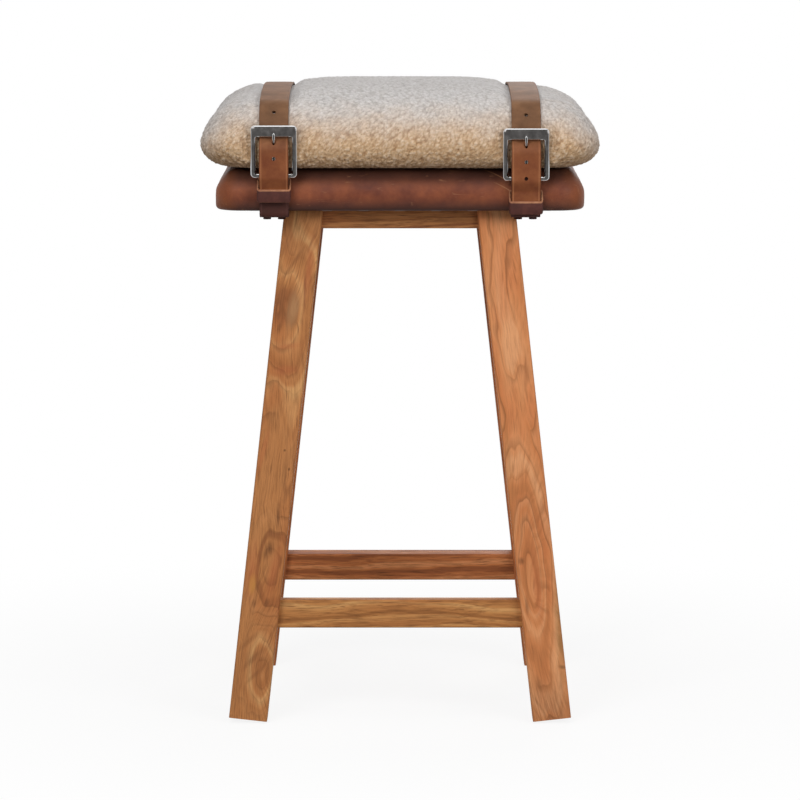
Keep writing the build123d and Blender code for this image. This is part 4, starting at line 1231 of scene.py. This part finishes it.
def seat_pad(material):
    """The leather seat pad: round-cornered, domed at its top edges, its leather turned under the board.

    A ring goes from the leather's inner edge below, out round the bottom edge, up the side and over
    the top edge to the middle. The side bulges most 11 mm up. Products of sines give shallow
    hollows, and at the corners upright gathers 7 mm apart that die out upwards.
    """
    half_wide, half_deep, corner, turned_under = 190.5 * MM, 152 * MM, 28 * MM, 21 * MM
    hollow, gather_deep, gather_pitch = 0.5 * MM, 0.5 * MM, 7 * MM
    turns = 240
    square = np.linspace(0, 8, turns, endpoint=False)
    px = np.interp(square, [0, 1, 3, 5, 7, 8], [1, 1, -1, -1, 1, 1])
    py = np.interp(square, [0, 1, 3, 5, 7, 8], [0, 1, 1, -1, -1, 0])
    side = smooth_curve(PAD_SIDE, 44) * MM
    below = np.linspace(turned_under, side[0, 0], 7)[:-1]
    above = np.linspace(side[-1, 0], half_deep, 24)[1:]
    inset = np.concatenate([below, side[:, 0], above])
    height = np.concatenate([np.zeros(len(below)), side[:, 1], np.full(len(above), side[-1, 1])]) + SEAT_LOW
    rows = []
    for step_in, z in zip(inset, height):
        round_corner = max(corner - min(step_in, corner * 0.75), 6 * MM)
        deep_in = max(half_deep - step_in, 0.5 * MM)
        x, y = rounded_outline(px, py, half_wide - step_in, deep_in, round_corner, 0.0)
        rows.append(np.stack([x, y, np.full(turns, z)], -1))
    grid = np.array(rows)
    x, y, z = grid[..., 0], grid[..., 1], grid[..., 2]
    low_end = smooth_step(z, SEAT_LOW + 2 * MM, SEAT_LOW + 9 * MM)
    on_side = low_end * (1 - smooth_step(z, SEAT_TOP - 6 * MM, SEAT_TOP))
    # Hollows with waves 103 and 134 mm long and 45 and 52 mm high
    swell = hollow * (np.sin(x * 61 + 1.3) * np.sin(z * 140 + 0.6) + np.sin(y * 47 + 0.4) * np.sin(z * 120))
    at_corner = smooth_step(np.minimum(np.abs(px), np.abs(py)), 0.84, 0.95)[None, :]
    gather = gather_deep * (1 + np.sin((x - y * np.sign(x * y)) / gather_pitch * 2 * math.pi)) * at_corner
    gather = gather * (1 - smooth_step(z, SEAT_LOW + 4 * MM, SEAT_LOW + 20 * MM))
    away = np.hypot(x, y)[..., None]
    outwards = np.concatenate([grid[..., :2] / np.maximum(away, 1e-6), np.zeros_like(away)], -1)
    grid = grid - outwards * (np.abs(swell) * on_side + gather)[..., None]
    faces = grid_faces(*grid.shape[:2], round_columns=True).tolist()
    faces.append([(len(rows) - 1) * turns + i for i in range(turns)])
    replaced = ["seat_cover", "seat_foam"]
    pad = new_piece("seat_pad_leather", grid, faces, material, "stool", replaced)
    outward(pad)
    wall = pad.modifiers.new("wall", "SOLIDIFY")
    wall.thickness = 1.5 * MM
    wall.offset = -1.0
    bake_modifiers(pad)


seat_pad(waxed_seat_leather("waxed_red_brown_leather"))


# Cushion

# Share of the half width and share of the height, from the middle of the base round to the crown
CUSHION_PROFILE = (
    (0.0, 0.0), (0.45, 0.0), (0.80, 0.0), (0.898, 0.016), (0.962, 0.095), (0.997, 0.21),
    (1.0, 0.335), (0.981, 0.462), (0.952, 0.585), (0.905, 0.72), (0.852, 0.803), (0.785, 0.872),
    (0.70, 0.920), (0.60, 0.950), (0.50, 0.969), (0.38, 0.984), (0.20, 0.996), (0.0, 1.0),
)
CUSHION_LOW = 574.9 * MM
CUSHION_HALF = (205.6 * MM, 164.2 * MM)
CUSHION_HEIGHT = 82.0 * MM
# Height of a line along X, inside the cushion, that the straps' loops are measured round
HUB = 604.7 * MM


def cushion_core():
    """The cushion's smooth body as a closed box-like grid.

    One profile is walked by its length: a cube's base takes its first stretch by how far a point is
    from the pole, the side rows take the next, and the top the last. The profile's shares then scale
    a round-cornered outline, whose corners have a radius of 46 mm and whose sides are drawn in 3 mm.
    """
    half_wide, half_deep = CUSHION_HALF
    points, quads = box_shell(across=64, deep=52, up=12)
    reach, px, py = ring_place(points)
    level = points[:, 2]
    curve = smooth_curve(np.array(CUSHION_PROFILE) * (half_wide, CUSHION_HEIGHT), 800)
    walk = np.linspace(0, 1, len(curve))
    base_end = walk[np.argmax(curve[:, 1] > 0.02 * CUSHION_HEIGHT)]
    side_end = walk[np.argmax(curve[:, 1] > 0.80 * CUSHION_HEIGHT)]
    at = base_end + (level + 1) / 2 * (side_end - base_end)
    at = np.where(level > 0.999, 1 - reach * (1 - side_end), at)
    at = np.where(level < -0.999, reach * base_end, at)
    share = np.maximum(np.interp(at, walk, curve[:, 0]) / half_wide, 1e-5)
    height = np.interp(at, walk, curve[:, 1])
    x, y = rounded_outline(px, py, half_wide * share, half_deep * share, 46 * MM * share, 3 * MM * share)
    # The crown leans: its right shoulder is lower than its left
    high = (height / CUSHION_HEIGHT) ** 2
    height = height - 3.2 * MM * high * smooth_step(x, 80 * MM, 170 * MM)
    height = height + 0.8 * MM * high * smooth_step(-x, 80 * MM, 170 * MM)
    return np.stack([x, y, CUSHION_LOW + height], -1), quads


def strap_limit(side):
    """How far from the cushion's hub line the strap's inner face lies, by the angle round that line."""
    corners, radii = long_strap_corners(side)
    path = soften(path_points(corners[4:15], radii[4:13])[0])
    inner = path - outer_side(unit_headings(path)) * (STRAP_THICKNESS / 2 + 0.5 * MM)
    angle = np.arctan2(inner[:, 1] - HUB, inner[:, 0])
    distance = np.hypot(inner[:, 0], inner[:, 1] - HUB)
    order = np.argsort(angle)
    return angle[order], distance[order]


def press_straps(points, fade, spare=0.0):
    """Moves points under a strap in to its inner face, fading to nothing at fade beside its middle."""
    points = points.copy()
    pressed = np.zeros(len(points))
    for side in SIDES.values():
        beside = np.abs(points[:, 0] - side["sign"] * STRAP_OFFSET)
        angle, distance = strap_limit(side)
        here = np.arctan2(points[:, 2] - HUB, points[:, 1])
        far = np.hypot(points[:, 1], points[:, 2] - HUB)
        limit = np.interp(here, angle, distance, left=9, right=9) - spare
        move = (1 - smooth_step(beside, 15.6 * MM, fade)) * np.maximum(far - limit, 0)
        scale = (far - move) / np.maximum(far, 1e-6)
        points[:, 1] *= scale
        points[:, 2] = HUB + (points[:, 2] - HUB) * scale
        under = (limit < 8) & (far > limit - 3 * MM)
        pressed = np.maximum(pressed, (1 - smooth_step(beside, 15 * MM, 17 * MM)) * under)
        # The buckle lies against the front and sinks in a little: it reaches 24.5 mm aside and 53 mm up
        beside_buckle = 1 - smooth_step(beside, 24.5 * MM, 33 * MM)
        below = 1 - smooth_step(points[:, 2], (side["heel"] + 53) * MM, (side["heel"] + 66) * MM)
        points[:, 1] += np.maximum(BUCKLE_BACK - points[:, 1] + spare, 0) * beside_buckle * below
    return points, pressed


def settle(piece, held, cap):
    """Swells a piece as cloth under a light pressure for 20 frames, its held points fixed.

    Each point then keeps its move, shortened to cap * tanh(move / cap).
    """
    mesh = piece.data
    start = vertex_vectors(mesh, "co")
    group = piece.vertex_groups.new(name="held")
    group.add(np.flatnonzero(held).tolist(), 1.0, "REPLACE")
    cloth = piece.modifiers.new("cloth", "CLOTH")
    cloth.settings.use_pressure = True
    cloth.settings.uniform_pressure_force = 4.0
    cloth.settings.vertex_group_mass = group.name
    cloth.settings.effector_weights.gravity = 0.0
    cloth.settings.bending_stiffness = 2.0
    for step in range(1, 21):
        bpy.context.scene.frame_set(step)
    graph = bpy.context.evaluated_depsgraph_get()
    swollen = vertex_vectors(piece.evaluated_get(graph).data, "co")
    piece.modifiers.clear()
    piece.vertex_groups.clear()
    bpy.context.scene.frame_set(1)
    move = swollen - start
    length = np.linalg.norm(move, axis=1)[:, None]
    move *= np.where(length > 1e-9, cap * np.tanh(length / cap) / np.maximum(length, 1e-9), 0)
    mesh.vertices.foreach_set("co", (start + move).ravel())
    mesh.update()
    moved = np.linalg.norm(move, axis=1) / MM
    print(f"cushion cloth moved {moved.max():.2f} mm at most, {moved.mean():.2f} mm on average")


def cushion(material):
    """The fleece cushion: core, settled by a short cloth simulation, then curled.

    Curls are strewn cells 4.4 mm across, looked up at a place warped by sines: height = 1 - nearest
    distance squared, cut a little by the valleys between cells, with curls 2.5 mm across on top. They
    stand 1.1 mm high on top and 2 mm low on the sides, and nearly vanish under the straps.
    """
    core, quads = cushion_core()
    core, _ = press_straps(core, 24 * MM, 1.2 * MM)
    replaced = ["cushion_cover", "cushion_filling"]
    piece = new_piece("cushion_fleece", core, quads, material, "stool", replaced)
    outward(piece)
    beside = np.minimum(*(np.abs(core[:, 0] - side["sign"] * STRAP_OFFSET) for side in SIDES.values()))
    settle(piece, (beside < 19 * MM) | (core[:, 2] < CUSHION_LOW + 0.5 * MM), 2.6 * MM)
    finer = piece.modifiers.new("finer", "SUBSURF")
    finer.levels = finer.render_levels = 2
    bake_modifiers(piece)
    mesh = piece.data
    points = vertex_vectors(mesh, "co").astype(float)
    normals = vertex_vectors(mesh, "normal").astype(float)
    points, pressed = press_straps(points, 20 * MM, 0.6 * MM)
    curl_size, small_size, warp, warp_pitch = 4.4 * MM, 2.5 * MM, 1.1 * MM, 9.5 * MM
    warped = points + warp * np.sin(points[:, [1, 2, 0]] * (2 * math.pi / warp_pitch) + (0.3, 1.1, 2.3))
    first, second, pick = cell_noise(warped, curl_size, 11)
    dome = np.clip(1 - first**2, 0, 1) * (0.45 + 0.55 * smooth_step(second - first, 0.0, 0.4))
    first, second, _ = cell_noise(warped + normals * MM, small_size, 29)
    small = np.clip(1 - first**2, 0, 1) * (0.5 + 0.5 * smooth_step(second - first, 0.0, 0.4))
    curl = np.clip(0.70 * dome * (0.8 + 0.4 * pick) + 0.36 * small, 0, 1)
    low_share = 1 - smooth_step(points[:, 2], 605 * MM, 645 * MM)
    tall = (1.1 + 0.9 * low_share) * MM
    under = smooth_step(points[:, 2], CUSHION_LOW - 1.2 * MM, CUSHION_LOW + 3 * MM)
    points += normals * (tall * (curl - 0.55) * (1 - 0.9 * pressed) * (0.25 + 0.75 * under))[:, None]
    points[:, 2] = np.maximum(points[:, 2], CUSHION_LOW - 0.45 * MM)
    mesh.vertices.foreach_set("co", points.astype(np.float32).ravel())
    layer = mesh.attributes.new("curl", "FLOAT", "POINT")
    layer.data.foreach_set("value", curl.astype(np.float32))
    mesh.polygons.foreach_set("use_smooth", [True] * len(mesh.polygons))
    mesh.update()


cushion(boucle_fleece("cream_wool_boucle"))
